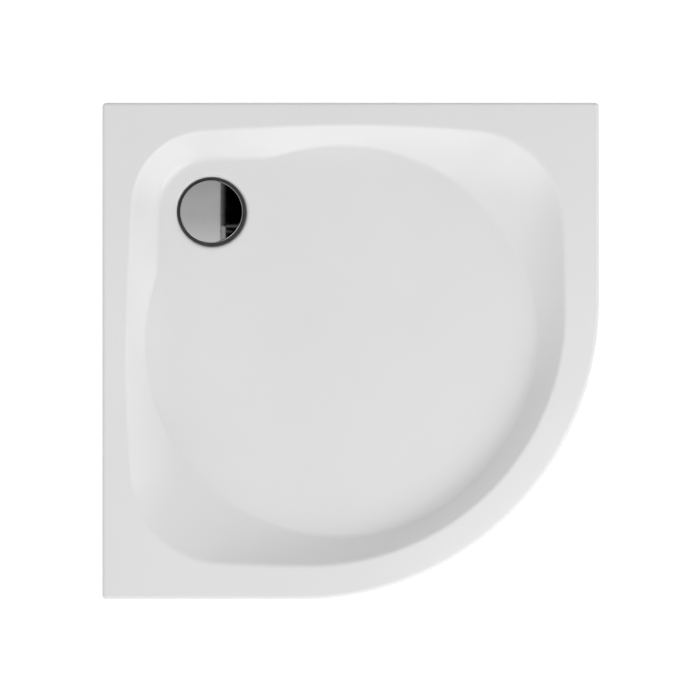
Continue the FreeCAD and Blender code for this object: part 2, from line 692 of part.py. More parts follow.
ft = S.flange_thick
face_z = S.seat_z + S.seal_thick
flange = turned("flange", [
    (S.flange_bore, S.seat_z), (S.flange_step, S.seat_z), (S.flange_step, face_z), (S.flange_radius, face_z),
    (S.flange_radius, face_z + ft), (S.flange_web, face_z + ft), (S.flange_web, face_z), (S.flange_bore, face_z)], *AT)
sk = sketch(flange, "XY_Plane")
circle(sk, S.clamp_circle * math.cos(math.radians(30.0)), S.clamp_circle * math.sin(math.radians(30.0)), S.clamp_hole)
drill = pocket(flange, sk, None, both=True)
ring = flange.newObject("PartDesign::PolarPattern", fresh("pattern"))
ring.Originals = [drill]
ring.Axis = (sk, ["N_Axis"])
ring.Angle = 360.0
ring.Occurrences = 3
flange.Tip = ring
node(flange, "waste_flange")

node(turned("seal", [
    (S.seal_inner, S.seat_z), (S.seal_outer, S.seat_z), (S.seal_outer, face_z), (S.seal_inner, face_z)], *AT), "flange_seal")
pot_top = S.pot_flange_z + S.pot_flange_thick
node(turned("seal", [
    (S.seal_inner, pot_top), (S.flange_radius, pot_top), (S.flange_radius, S.boss_z), (S.seal_inner, S.boss_z)], *AT), "body_seal")

pot_in = S.pot_radius - S.pot_wall
pot = turned("pot", [
    (0, S.pot_z), (S.pot_radius, S.pot_z), (S.pot_radius, S.pot_flange_z), (S.pot_flange, S.pot_flange_z),
    (S.pot_flange, pot_top), (S.neck_radius, pot_top), (S.neck_radius, S.neck_top), (S.neck_bore, S.neck_top),
    (S.neck_bore, S.pot_roof_z), (pot_in, S.pot_roof_z), (pot_in, S.pot_z + S.pot_floor), (0, S.pot_z + S.pot_floor)], *AT)
stub = cylinder(S.stub_radius, S.stub_end - S.stub_start, -S.drain_c, S.drain_c + S.stub_start, S.outlet_z, ALONG_Y)
way = cylinder(S.stub_bore, S.stub_end - 20, -S.drain_c, S.drain_c + 21, S.outlet_z, ALONG_Y)
holes = fuse(*[cylinder(S.clamp_radius, S.neck_top - S.clamp_end_z + 1, -S.drain_c + cx, S.drain_c + cy, S.clamp_end_z)
               for cx, cy in clamp_points()])
node(cut(cut(fuse(pot, stub), way), holes), "trap_body")

node(group(*[fuse(
    cylinder(S.clamp_head, S.clamp_head_len, -S.drain_c + cx, S.drain_c + cy, face_z),
    cylinder(S.clamp_radius, face_z - S.clamp_end_z, -S.drain_c + cx, S.drain_c + cy, S.clamp_end_z))
    for cx, cy in clamp_points()]), "flange_screws")

# ball outlet: pieces turned about the outlet's own axis, which runs along +Y from the drain
OUT = (-S.drain_c, S.drain_c, S.outlet_z, ALONG_Y)
node(turned("ring", [
    (S.ring_inner, S.stub_end), (S.ring_outer, S.stub_end), (S.ring_outer, S.stub_end + S.ring_thick),
    (S.ring_inner, S.stub_end + S.ring_thick)], *OUT), "outlet_seal")
lip_start = S.stub_end + S.ring_thick
union = turned("union", [
    (S.union_bore, S.union_start), (S.union_radius - S.union_rib, S.union_start), (S.union_radius - S.union_rib, S.union_end),
    (10, S.union_end), (10, lip_start), (S.union_bore, lip_start)], *OUT)
ribs = [box(S.union_rib * 2, 6, S.union_end - S.union_start) for _ in range(8)]
for i, rib in enumerate(ribs):
    a = math.radians(45.0 * i)
    turn = ALONG_Y.multiply(Rotation(Vector(0, 0, 1), 45.0 * i))
    reach = S.union_radius - S.union_rib * 2
    local = Vector(reach.v * math.cos(a) + 3.0 * math.sin(a), reach.v * math.sin(a) - 3.0 * math.cos(a), 0)
    lx = reach * math.cos(a) + 3.0 * math.sin(a)
    ly = reach * math.sin(a) - 3.0 * math.cos(a)
    # the outlet's own axes: X stays X, its Y points down, its Z is along +Y
    place(rib, -S.drain_c + lx, S.drain_c + S.union_start, S.outlet_z - ly, turn)
# a rib's outer corners stay inside the nut's outer radius
round_limit = cylinder(S.union_radius, S.union_end - S.union_start, -S.drain_c, S.drain_c + S.union_start, S.outlet_z, ALONG_Y)
node(cut(common(fuse(union, *ribs), round_limit),
         fuse(sphere(S.union_ball, -S.drain_c, S.drain_c + S.ball_y, S.outlet_z),
              cylinder(S.union_bore, lip_start - S.union_start, -S.drain_c, S.drain_c + S.union_start, S.outlet_z, ALONG_Y))),
     "union_nut")

# the ball is cut flat behind, and a straight pipe leaves it forwards
ball = sphere(S.ball_radius, -S.drain_c, S.drain_c + S.ball_y, S.outlet_z)
pipe = cylinder(S.spigot_radius, S.spigot_end - S.ball_y, -S.drain_c, S.drain_c + S.ball_y, S.outlet_z, ALONG_Y)
bore = cylinder(S.spigot_bore, S.spigot_end, -S.drain_c, S.drain_c + S.ball_y - S.ball_cut - 5, S.outlet_z, ALONG_Y)
behind = box(S.ball_radius * 3, S.ball_radius, S.ball_radius * 3, -S.drain_c - S.ball_radius * 1.5,
             S.drain_c + S.ball_y - S.ball_cut - S.ball_radius, S.outlet_z - S.ball_radius * 1.5)
node(cut(cut(fuse(ball, pipe), behind), bore), "outlet_spigot")

# lift-out insert
dip = turned("dip", [
    (S.dip_bore, S.dip_end_z), (S.dip_radius, S.dip_end_z), (S.dip_radius, S.insert_z), (S.collar_radius, S.insert_z),
    (S.collar_radius, S.insert_top), (S.dip_bore, S.insert_top)], *AT)
bar = S.strainer_bar
bars = [box(S.dip_bore * 2 + 1, bar, bar, -S.drain_c - S.dip_bore - 0.5, S.drain_c - bar / 2, 80),
        box(bar, S.dip_bore * 2 + 1, bar, -S.drain_c - bar / 2, S.drain_c - S.dip_bore - 0.5, 80)]
node(fuse(dip, *bars), "dip_tube")
cup = turned("cup", [
    (0, S.cup_z), (S.cup_radius, S.cup_z), (S.cup_radius, S.cup_top), (S.cup_radius - S.cup_wall, S.cup_top),
    (S.cup_radius - S.cup_wall, S.cup_z + S.cup_wall), (0, S.cup_z + S.cup_wall)], *AT)
rib_len = S.cup_radius - 1 - S.dip_radius + 1
fins = []
for a in (0.0, 120.0, 240.0):
    ca, sa = math.cos(math.radians(a)), math.sin(math.radians(a))
    r0 = S.dip_radius - 1
    fins.append(box(rib_len, S.cup_rib, S.cup_rib_top - 52, -S.drain_c + r0 * ca + S.cup_rib / 2 * sa,
                    S.drain_c + r0 * sa - S.cup_rib / 2 * ca, 52, Rotation(Vector(0, 0, 1), a)))
node(cut(fuse(cup, *fins), cylinder(S.dip_radius, 40, -S.drain_c, S.drain_c, 45)), "seal_cup")
node(turned("gasket", [
    (S.gasket_inner, S.gasket_z), (S.collar_radius, S.gasket_z), (S.collar_radius, S.insert_z), (S.gasket_inner, S.insert_z)],
    *AT), "insert_seal")

# cover: a pressed dish with a turned-down lip, on a star-shaped carrier that plugs into the dip tube
dome_z = S.cover_top - S.cover_dome
tall = S.cover_top - S.cover_lip_z + 2
skin = common(cylinder(S.cover_radius, tall, -S.drain_c, S.drain_c, S.cover_lip_z),
              sphere(S.cover_dome, -S.drain_c, S.drain_c, dome_z))
doc.recompute()
rim_edges = [i + 1 for i, ed in enumerate(skin.Shape.Edges)
             if not ed.Degenerated and abs(ed.BoundBox.XLength - 2 * V["cover_radius"]) < 0.05
             and ed.BoundBox.ZLength < 0.05 and ed.BoundBox.ZMin > V["cover_lip_z"] + 0.5]
rounded = doc.addObject("Part::Fillet", fresh("round"))
rounded.Base = skin
rounded.Edges = [(i, V["cover_round"], V["cover_round"]) for i in rim_edges]
inner = common(cylinder(S.cover_radius - S.cover_thick, tall, -S.drain_c, S.drain_c, S.cover_lip_z - 1),
               sphere(S.cover_dome - S.cover_thick, -S.drain_c, S.drain_c, dome_z))
node(cut(rounded, inner), "waste_cover")

spokes = []
for a in (45.0, 135.0, 225.0, 315.0):
    ca, sa = math.cos(math.radians(a)), math.sin(math.radians(a))
    r0 = S.plug_radius - 2
    spokes.append(box(S.spoke_len - r0, S.spoke_width, 6, -S.drain_c + r0 * ca + S.spoke_width / 2 * sa,
                      S.drain_c + r0 * sa - S.spoke_width / 2 * ca, S.spoke_z, Rotation(Vector(0, 0, 1), a)))
star = fuse(cylinder(S.plug_radius, S.spoke_z + 2 - S.plug_z, -S.drain_c, S.drain_c, S.plug_z),
            cylinder(S.hub_radius, 6, -S.drain_c, S.drain_c, S.spoke_z), *spokes)
star = cut(star, cylinder(S.plug_radius - S.plug_wall, S.spoke_z - S.plug_z + 1, -S.drain_c, S.drain_c, S.plug_z - 1))
slots = [box(60, 14, S.spoke_z - S.plug_z - 1, -S.drain_c - 30, S.drain_c - 7, S.plug_z - 1),
         box(14, 60, S.spoke_z - S.plug_z - 1, -S.drain_c - 7, S.drain_c - 30, S.plug_z - 1)]
star = cut(star, fuse(*slots))
node(common(star, sphere(S.cover_dome - S.cover_thick - S.carrier_gap, -S.drain_c, S.drain_c, dome_z)), "cover_carrier")

# ----------------------------------------------------------------------------------------------
# Recompute, test every object, and write one file per piece
# ----------------------------------------------------------------------------------------------
doc.recompute()
bad = []
for o in doc.Objects:
    if "Invalid" in o.State or "Error" in o.State:
        bad.append("%s (%s): %s" % (o.Name, o.Label, o.State))
for name, o in NODES.items():
    if o.Shape.isNull() or not o.Shape.isValid() or not o.Shape.Solids:
        bad.append("%s: shape null, invalid or not solid" % name)
if bad:
    raise RuntimeError("failed objects: " + "; ".join(bad))

os.makedirs("parts", exist_ok=True)
for name, o in NODES.items():
    b = o.Shape.BoundBox
    print("%-22s solids %d  volume %10.1f  x %.1f..%.1f  y %.1f..%.1f  z %.1f..%.1f" % (
        name, len(o.Shape.Solids), o.Shape.Volume, b.XMin, b.XMax, b.YMin, b.YMax, b.ZMin, b.ZMax))
    o.Shape.exportStep("parts/%s.step" % name)
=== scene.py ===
import bpy
import bmesh
import math
import random
from mathutils import Matrix, Vector, noise


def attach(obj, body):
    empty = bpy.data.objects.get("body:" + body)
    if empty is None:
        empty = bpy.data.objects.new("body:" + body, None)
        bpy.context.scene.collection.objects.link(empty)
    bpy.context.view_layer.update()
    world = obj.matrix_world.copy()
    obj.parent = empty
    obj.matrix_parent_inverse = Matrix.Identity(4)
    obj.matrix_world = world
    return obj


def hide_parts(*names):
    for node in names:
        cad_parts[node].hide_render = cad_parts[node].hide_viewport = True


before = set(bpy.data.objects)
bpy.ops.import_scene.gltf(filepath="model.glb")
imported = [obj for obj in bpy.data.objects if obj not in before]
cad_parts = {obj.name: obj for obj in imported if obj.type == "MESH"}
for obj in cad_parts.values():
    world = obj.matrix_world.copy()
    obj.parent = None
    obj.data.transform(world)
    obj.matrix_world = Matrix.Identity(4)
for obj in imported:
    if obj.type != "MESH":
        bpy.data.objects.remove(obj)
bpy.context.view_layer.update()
scene = bpy.context.scene
random.seed(4)

# Lengths below are millimetres, as in the part's own model, and become metres when a mesh is made.
MM = 0.001

# ------------------------------------------------------------------------------------------------
# Sizes, the same as the part's
# ------------------------------------------------------------------------------------------------
SIDE_LEN, FRONT_R, FRONT_C, CORNER_R = 900.0, 540.0, 90.0, 8.0
DECK_Z, SKIRT_Z, EDGE_R = 150.0, 110.0, 7.0
WALL_A, WALL_L, FLAT_Z = 3.5, 2.5, 90.3
CX, CY, FLOOR_R, FLOOR_Z, FALL = -18.5, 18.5, 360.0, 100.0, 0.008
DX, DY, LOBE_R, LOBE_K = -256.0, 256.0, 98.5, 3.0
BIAS = 0.72
LOBE_EASE = 9.0
SEAT_Z, SEAT_R, RECESS_R, HOLE_R = 93.0, 64.5, 73.0, 45.0


# ------------------------------------------------------------------------------------------------
# Mesh helpers
# ------------------------------------------------------------------------------------------------
def make(name, verts, faces, body, material, sharp=35.0, smooth=True, flip=False):
    me = bpy.data.meshes.new(name)
    me.from_pydata([(x * MM, y * MM, z * MM) for x, y, z in verts], [], faces)
    me.validate()
    bm = bmesh.new()
    bm.from_mesh(me)
    bmesh.ops.recalc_face_normals(bm, faces=bm.faces)
    if flip:
        bmesh.ops.reverse_faces(bm, faces=bm.faces)
    bm.to_mesh(me)
    bm.free()
    if smooth:
        me.shade_smooth()
        me.set_sharp_from_angle(angle=math.radians(sharp))
    me.materials.append(material)
    o = bpy.data.objects.new(name, me)
    scene.collection.objects.link(o)
    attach(o, body)
    return o


def grid(cols, closed_u=True, closed_v=True):
    """Faces of a grid whose columns hold equal numbers of points."""
    n, k = len(cols), len(cols[0])
    verts = [p for col in cols for p in col]
    faces = []
    for i in range(n if closed_u else n - 1):
        a, b = i * k, ((i + 1) % n) * k
        for j in range(k if closed_v else k - 1):
            j2 = (j + 1) % k
            faces.append((a + j, b + j, b + j2, a + j2))
    return verts, faces


def lathe_mesh(profile, n=96, at=(0, 0, 0), axis="z", closed=True):
    """A closed profile (r, h) turned about an axis; a point on the axis becomes one vertex."""
    ring_of, verts, faces = [], [], []

    def put(r, h, a):
        c, s = math.cos(a), math.sin(a)
        if axis == "z":
            return (at[0] + r * c, at[1] + r * s, at[2] + h)
        return (at[0] + r * c, at[1] + h, at[2] + r * s)

    for r, h in profile:
        if abs(r) < 1e-6:
            ring_of.append([len(verts)] * n)
            verts.append(put(0, h, 0))
        else:
            ring_of.append(list(range(len(verts), len(verts) + n)))
            verts.extend(put(r, h, 2 * math.pi * i / n) for i in range(n))
    m = len(profile)
    for j in range(m if closed else m - 1):
        a, b = ring_of[j], ring_of[(j + 1) % m]
        if a[0] == a[-1] and b[0] == b[-1]:
            continue
        for i in range(n):
            k = (i + 1) % n
            f = [a[i], a[k], b[k], b[i]]
            f = [v for q, v in enumerate(f) if v not in f[:q]]
            if len(f) > 2:
                faces.append(tuple(f))
    return verts, faces


def join_meshes(*parts):
    verts, faces = [], []
    for v, f in parts:
        off = len(verts)
        verts.extend(v)
        faces.extend(tuple(i + off for i in face) for face in f)
    return verts, faces


def soft(points, e, n=3, closed=True):
    """A profile with its corners eased by e, so that edges catch the light as moulded and turned ones do."""
    out, m = [], len(points)
    for i, p in enumerate(points):
        if not closed and i in (0, m - 1):
            out.append(p)
            continue
        a, b = points[i - 1], points[(i + 1) % m]
        la, lb = math.hypot(a[0] - p[0], a[1] - p[1]), math.hypot(b[0] - p[0], b[1] - p[1])
        d = min(e, 0.45 * la, 0.45 * lb)
        s0 = (p[0] + (a[0] - p[0]) * d / la, p[1] + (a[1] - p[1]) * d / la)
        s1 = (p[0] + (b[0] - p[0]) * d / lb, p[1] + (b[1] - p[1]) * d / lb)
        for k in range(n + 1):
            t = k / n
            out.append(tuple((1 - t) ** 2 * s0[q] + 2 * t * (1 - t) * p[q] + t * t * s1[q] for q in (0, 1)))
    return out


def arc(cr, cz, r, a0, a1, n):
    return [(cr + r * math.cos(math.radians(a0 + (a1 - a0) * i / n)), cz + r * math.sin(math.radians(a0 + (a1 - a0) * i / n)))
            for i in range(n + 1)]


# ------------------------------------------------------------------------------------------------
# Materials
# ------------------------------------------------------------------------------------------------
class Mat:
    """A procedural material: object coordinates in metres feed every texture."""

    def __init__(self, name, **sockets):
        self.m = bpy.data.materials.new(name)
        self.m.use_nodes = True
        self.t = self.m.node_tree
        self.b = self.t.nodes["Principled BSDF"]
        self.co = self.t.nodes.new("ShaderNodeTexCoord").outputs["Object"]
        for k, v in sockets.items():
            self.b.inputs[k.replace("_", " ")].default_value = v

    def node(self, kind, **props):
        n = self.t.nodes.new(kind)
        for k, v in props.items():
            setattr(n, k, v)
        return n

    def link(self, a, b):
        self.t.links.new(a, b)

    def scaled(self, s):
        mp = self.node("ShaderNodeMapping")
        mp.inputs["Scale"].default_value = s
        self.link(self.co, mp.inputs["Vector"])
        return mp.outputs["Vector"]

    def noise(self, scale, detail=3.0, rough=0.5, vec=None, distortion=0.0):
        n = self.node("ShaderNodeTexNoise")
        n.inputs["Scale"].default_value = scale
        n.inputs["Detail"].default_value = detail
        n.inputs["Roughness"].default_value = rough
        n.inputs["Distortion"].default_value = distortion
        self.link(vec or self.co, n.inputs["Vector"])
        return n.outputs["Fac"]

    def voronoi(self, scale, feature="F1", out="Distance", vec=None):
        n = self.node("ShaderNodeTexVoronoi", feature=feature)
        n.inputs["Scale"].default_value = scale
        self.link(vec or self.co, n.inputs["Vector"])
        return n.outputs[out]

    def ramp(self, fac, *stops):
        r = self.node("ShaderNodeValToRGB")
        e = r.color_ramp.elements
        while len(e) < len(stops):
            e.new(0.5)
        for el, (p, c) in zip(e, stops):
            el.position = p
            el.color = (c, c, c, 1) if isinstance(c, (int, float)) else (*c, 1)
        self.link(fac, r.inputs["Fac"])
        return r.outputs["Color"]

    def mix(self, fac, a, b, mode="MIX"):
        n = self.node("ShaderNodeMix", data_type="RGBA", blend_type=mode)
        for sock, v in ((n.inputs["Factor"], fac), (n.inputs[6], a), (n.inputs[7], b)):
            if hasattr(v, "is_linked") or hasattr(v, "links"):
                self.link(v, sock)
            else:
                sock.default_value = v if not isinstance(v, tuple) else (*v, 1)
        return n.outputs[2]

    def maprange(self, v, a, b, c, d):
        n = self.node("ShaderNodeMapRange")
        self.link(v, n.inputs["Value"])
        for k, x in zip(("From Min", "From Max", "To Min", "To Max"), (a, b, c, d)):
            n.inputs[k].default_value = x
        return n.outputs["Result"]

    def colour(self, sock):
        self.link(sock, self.b.inputs["Base Color"])
        return self

    def rough(self, sock):
        self.link(sock, self.b.inputs["Roughness"])
        return self

    def bump(self, height, strength, distance, after=None):
        n = self.node("ShaderNodeBump")
        n.inputs["Strength"].default_value = strength
        n.inputs["Distance"].default_value = distance
        self.link(height, n.inputs["Height"])
        if after is not None:
            self.link(after, n.inputs["Normal"])
        self.link(n.outputs["Normal"], self.b.inputs["Normal"])
        return n.outputs["Normal"]


# gloss sanitary acrylic: faint cloudiness in the white, a slight orange peel, fine wipe marks in the gloss
acrylic = Mat("acrylic", IOR=1.49)
acrylic.colour(acrylic.ramp(acrylic.noise(5.0, 4.0, 0.55), (0.30, (0.868, 0.868, 0.866)), (0.70, (0.886, 0.886, 0.885))))
acrylic.rough(acrylic.maprange(acrylic.noise(14.0, 5.0, 0.65, acrylic.scaled((1.0, 2.2, 1.0))), 0.3, 0.7, 0.13, 0.19))
peel = acrylic.bump(acrylic.noise(160.0, 2.0, 0.5), 0.05, 0.0004)

chrome = Mat("chrome", Metallic=1.0)
chrome.colour(chrome.ramp(chrome.noise(20.0, 3.0), (0.3, (0.55, 0.55, 0.555)), (0.7, (0.585, 0.585, 0.59))))
chrome.rough(chrome.maprange(chrome.noise(60.0, 6.0, 0.7, chrome.scaled((1.0, 6.0, 1.0))), 0.35, 0.75, 0.02, 0.06))

rubber = Mat("rubber")
rubber.colour(rubber.ramp(rubber.noise(90.0, 5.0, 0.6), (0.3, 0.040), (0.7, 0.060)))
rubber.rough(rubber.maprange(rubber.noise(200.0, 4.0), 0.3, 0.7, 0.55, 0.75))
rubber.bump(rubber.noise(900.0, 3.0), 0.15, 0.0003)

# hot-dip galvanised tube: flat crystals of zinc, each with its own grey and gloss
galvanised = Mat("galvanised", Metallic=1.0)
cells = galvanised.voronoi(95.0, out="Color")
galvanised.colour(galvanised.mix(galvanised.ramp(galvanised.noise(18.0, 5.0, 0.6), (0.42, 0.0), (0.72, 0.55)),
                                 galvanised.ramp(cells, (0.15, (0.43, 0.44, 0.45)), (0.85, (0.63, 0.64, 0.65))), (0.36, 0.365, 0.37)))
galvanised.rough(galvanised.ramp(cells, (0.1, 0.30), (0.9, 0.52)))
galvanised.bump(galvanised.noise(140.0, 4.0), 0.08, 0.0006)

# bright zinc on the studs, nuts and screws
zinc = Mat("zinc", Metallic=1.0)
zinc.colour(zinc.ramp(zinc.noise(120.0, 4.0, 0.6), (0.3, (0.56, 0.585, 0.61)), (0.7, (0.67, 0.685, 0.70))))
zinc.rough(zinc.maprange(zinc.noise(260.0, 5.0, 0.65), 0.3, 0.7, 0.22, 0.40))
zinc.bump(zinc.noise(700.0, 3.0), 0.06, 0.0002)

# pressed stainless ring: fine turning marks
stainless = Mat("stainless", Metallic=1.0)
stainless.colour(stainless.ramp(stainless.noise(70.0, 5.0, 0.6), (0.3, (0.54, 0.54, 0.535)), (0.7, (0.63, 0.63, 0.625))))
stainless.rough(stainless.maprange(stainless.noise(500.0, 5.0, 0.7), 0.3, 0.7, 0.18, 0.34))
stainless.bump(stainless.noise(900.0, 2.0), 0.05, 0.0002)

# moulded polypropylene: satin, a little cloudy, with a fine eroded grain
pp = Mat("trap_plastic", IOR=1.49, Subsurface_Weight=0.08, Subsurface_Scale=0.002)
pp.colour(pp.ramp(pp.noise(22.0, 4.0, 0.55), (0.3, (0.70, 0.705, 0.70)), (0.7, (0.765, 0.765, 0.755))))
pp.rough(pp.maprange(pp.noise(160.0, 4.0), 0.3, 0.7, 0.36, 0.48))
pp.bump(pp.noise(1100.0, 2.0), 0.10, 0.0002)

black = Mat("black_plastic", IOR=1.5)
black.colour(black.ramp(black.noise(60.0, 5.0, 0.6), (0.3, (0.018, 0.018, 0.019)), (0.7, (0.032, 0.032, 0.033))))
black.rough(black.maprange(black.noise(220.0, 4.0), 0.3, 0.7, 0.38, 0.55))
black.bump(black.noise(1300.0, 2.0), 0.18, 0.0002)

# raw chipboard: pressed flakes of several browns
board = Mat("board", Roughness=0.8)
flake = board.voronoi(330.0, out="Color", vec=board.scaled((1.0, 1.6, 1.0)))
board.colour(board.mix(board.ramp(board.noise(26.0, 5.0, 0.6), (0.35, 0.0), (0.75, 0.5)),
                       board.ramp(flake, (0.1, (0.30, 0.20, 0.115)), (0.45, (0.46, 0.335, 0.205)), (0.9, (0.60, 0.47, 0.31))), (0.42, 0.34, 0.25)))
board.rough(board.ramp(flake, (0.1, 0.65), (0.9, 0.9)))
board.bump(board.noise(420.0, 4.0), 0.35, 0.0008)

# sprayed glass fibre in resin: crossing chopped strands under a half-glossy, lumpy resin
laminate = Mat("laminate", IOR=1.55)


def strands(patch, across, seed):
    """Chopped strands: patches of about one strand's length, each with a direction of its own."""
    at = laminate.node("ShaderNodeMapping")
    at.inputs["Location"].default_value = (seed, seed * 0.7, seed * 1.3)
    laminate.link(laminate.co, at.inputs["Vector"])
    lay = laminate.node("ShaderNodeVectorRotate", rotation_type="Z_AXIS")
    laminate.link(at.outputs["Vector"], lay.inputs["Vector"])
    laminate.link(laminate.maprange(laminate.voronoi(patch, out="Color", vec=at.outputs["Vector"]), 0.0, 1.0, 0.0, 9.0), lay.inputs["Angle"])
    mp = laminate.node("ShaderNodeMapping")
    mp.inputs["Scale"].default_value = (16.0, across, 70.0)
    laminate.link(lay.outputs["Vector"], mp.inputs["Vector"])
    return laminate.ramp(laminate.noise(1.0, 2.0, 0.4, mp.outputs["Vector"], 0.25), (0.57, 0.0), (0.66, 1.0))


net = laminate.mix(1.0, laminate.mix(1.0, strands(38.0, 430.0, 0.3), strands(29.0, 380.0, 1.7), "LIGHTEN"),
                   laminate.mix(1.0, strands(46.0, 470.0, 2.9), strands(33.0, 340.0, 4.1), "LIGHTEN"), "LIGHTEN")
resin = laminate.ramp(laminate.noise(9.0, 5.0, 0.6), (0.3, (0.50, 0.485, 0.40)), (0.7, (0.62, 0.605, 0.525)))
laminate.colour(laminate.mix(net, resin, (0.76, 0.755, 0.70)))
laminate.rough(laminate.maprange(laminate.noise(35.0, 5.0, 0.65), 0.3, 0.7, 0.22, 0.55))
lumps = laminate.bump(laminate.noise(60.0, 4.0, 0.55), 0.5, 0.002)
laminate.bump(net, 0.35, 0.0006, after=lumps)


# ------------------------------------------------------------------------------------------------
# The bowl's contours and sections
# ------------------------------------------------------------------------------------------------
def ray_circle(dx, dy, c, r):
    fx, fy = CX - c[0], CY - c[1]
    b = fx * dx + fy * dy
    return -b + math.sqrt(b * b - (fx * fx + fy * fy - r * r))


def inner_tangent(c1, r1, c2, r2, r, guess):
    a, b = guess
    for _ in range(60):
        d1, d2 = math.hypot(a - c1[0], b - c1[1]), math.hypot(a - c2[0], b - c2[1])
        f1, f2 = d1 - (r1 - r), d2 - (r2 - r)
        j11, j12, j21, j22 = (a - c1[0]) / d1, (b - c1[1]) / d1, (a - c2[0]) / d2, (b - c2[1]) / d2
        det = j11 * j22 - j12 * j21
        a, b = a - (f1 * j22 - f2 * j12) / det, b - (f2 * j11 - f1 * j21) / det
    return a, b


def on_circle(c, r, towards):
    d = math.hypot(towards[0] - c[0], towards[1] - c[1])
    return (c[0] + (towards[0] - c[0]) / d * r, c[1] + (towards[1] - c[1]) / d * r)


RIM_TOP, RIM_SIDE, RIM_C = 405.5, 388.3, 77.5
BACK = ((10.0, RIM_TOP - 3900.0), 3900.0)
LEFT = ((3900.0 - RIM_TOP, -10.0), 3900.0)
MID = ((10.0, RIM_TOP - 2500.0), 2500.0)
SIDE = ((RIM_SIDE - 3000.0, RIM_C), 3000.0)
FRONT = ((-RIM_C, RIM_C), RIM_SIDE + RIM_C)
CORNER = (inner_tangent(BACK[0], BACK[1], LEFT[0], LEFT[1], 137.0, (-250.0, 250.0)), 137.0)
TURN = (inner_tangent(MID[0], MID[1], SIDE[0], SIDE[1], 164.0, (215.0, 231.0)), 164.0)


def bearing(p):
    return math.degrees(math.atan2(p[1] - CY, p[0] - CX))


RIM = [
    (bearing(on_circle(BACK[0], BACK[1], CORNER[0])), CORNER), (bearing((10.0, RIM_TOP)), BACK),
    (bearing(on_circle(MID[0], MID[1], TURN[0])), MID), (bearing(on_circle(SIDE[0], SIDE[1], TURN[0])), TURN),
    (bearing((RIM_SIDE, RIM_C)), SIDE), (-46.0, FRONT)]


def rim_r(deg):
    a = (deg + 45.0) % 360.0 - 45.0
    if a > 135.0:
        a = 270.0 - a
    for start, (c, r) in RIM:
        if a >= start:
            return ray_circle(math.cos(math.radians(a)), math.sin(math.radians(a)), c, r)


def floor_r(deg):
    dx, dy = math.cos(math.radians(deg)), math.sin(math.radians(deg))
    if not (dx < -0.2 and dy > 0.2):
        return FLOOR_R
    reach = []
    t = (DX - LOBE_R - CX) / dx
    if CY + t * dy <= DY:
        reach.append(t)
    t = (DY + LOBE_R - CY) / dy
    if CX + t * dx >= DX:
        reach.append(t)
    if not reach:
        reach.append(ray_circle(dx, dy, (DX, DY), LOBE_R))
    return FLOOR_R + LOBE_K * math.log(1.0 + math.exp((min(reach) - FLOOR_R) / LOBE_K))


def floor_height(x, y):
    return FLOOR_Z - FALL * ((CX - x) + (y - CY)) / math.sqrt(2.0)


def bowl_profile(deg, off, floor_const, fillet, soft, rim_round, n_f, n_w, n_r):
    """One radial section of the bowl, offset towards its back: points (r, z) from the floor to the deck."""
    dx, dy = math.cos(math.radians(deg)), math.sin(math.radians(deg))
    ease = math.exp(-(((deg + 42.0 + 180.0) % 360.0 - 180.0) / 25.0) ** 4)
    r0, r1 = floor_r(deg) - 8.0 * ease, rim_r(deg)
    z0, z1 = floor_height(CX + r0 * dx, CY + r0 * dy), DECK_Z

    def wall(t):
        h = BIAS * t + (1 - BIAS) * t * t if 0 <= t <= 1 else (BIAS * t if t < 0 else 1 + (2 - BIAS) * (t - 1))
        s = BIAS + 2 * (1 - BIAS) * min(max(t, 0.0), 1.0)
        tr, tz = (r1 - r0), (z1 - z0) * s
        m = math.hypot(tr, tz)
        return (r0 + (r1 - r0) * t + off * tz / m, z0 + (z1 - z0) * h - off * tr / m)

    pts = [wall(-0.6 + 2.2 * i / 160.0) for i in range(161)]

    def ground(r):
        return floor_const if floor_const is not None else floor_height(CX + r * dx, CY + r * dy) - off

    def crossing(level):
        for a, b in zip(pts, pts[1:]):
            if a[1] <= level(a[0]) and b[1] > level(b[0]):
                fa, fb = a[1] - level(a[0]), b[1] - level(b[0])
                t = -fa / (fb - fa)
                return (a[0] + t * (b[0] - a[0]), a[1] + t * (b[1] - a[1]))

    low, high = crossing(ground), crossing(lambda r: z1 - off)
    line = [low] + [p for p in pts if low[1] + 1e-6 < p[1] < high[1] - 1e-6] + [high]
    run = [0.0]
    for a, b in zip(line, line[1:]):
        run.append(run[-1] + math.hypot(b[0] - a[0], b[1] - a[1]))

    def at(d):
        for i in range(1, len(run)):
            if d <= run[i] or i == len(run) - 1:
                t = (d - run[i - 1]) / max(run[i] - run[i - 1], 1e-9)
                return (line[i - 1][0] + t * (line[i][0] - line[i - 1][0]), line[i - 1][1] + t * (line[i][1] - line[i - 1][1]))

    nook = math.exp(-(((deg - 135.0 + 180.0) % 360.0 - 180.0) / 13.0) ** 2) * soft
    f_in, f_up = fillet + 22.0 * ease * soft + LOBE_EASE * nook, fillet + 2.0 * ease * soft + LOBE_EASE * nook
    start, end = (low[0] - f_in, ground(low[0] - f_in)), at(f_up)
    out = []
    for i in range(n_f + 1):
        t = i / n_f
        out.append(tuple((1 - t) ** 2 * start[k] + 2 * t * (1 - t) * low[k] + t * t * end[k] for k in (0, 1)))
    d0, d1 = f_up, run[-1] - rim_round
    for i in range(1, n_w):
        out.append(at(d0 + (d1 - d0) * i / n_w))
    a, b = at(d1), (high[0] + rim_round, high[1])
    for i in range(n_r + 1):
        t = i / n_r
        out.append(tuple((1 - t) ** 2 * a[k] + 2 * t * (1 - t) * high[k] + t * t * b[k] for k in (0, 1)))
    return out


E, FC = SIDE_LEN / 2, FRONT_C
CORNERS = [(E - CORNER_R, E - CORNER_R, 0), (-E + CORNER_R, E - CORNER_R, 90), (-E + CORNER_R, -E + CORNER_R, 180)]


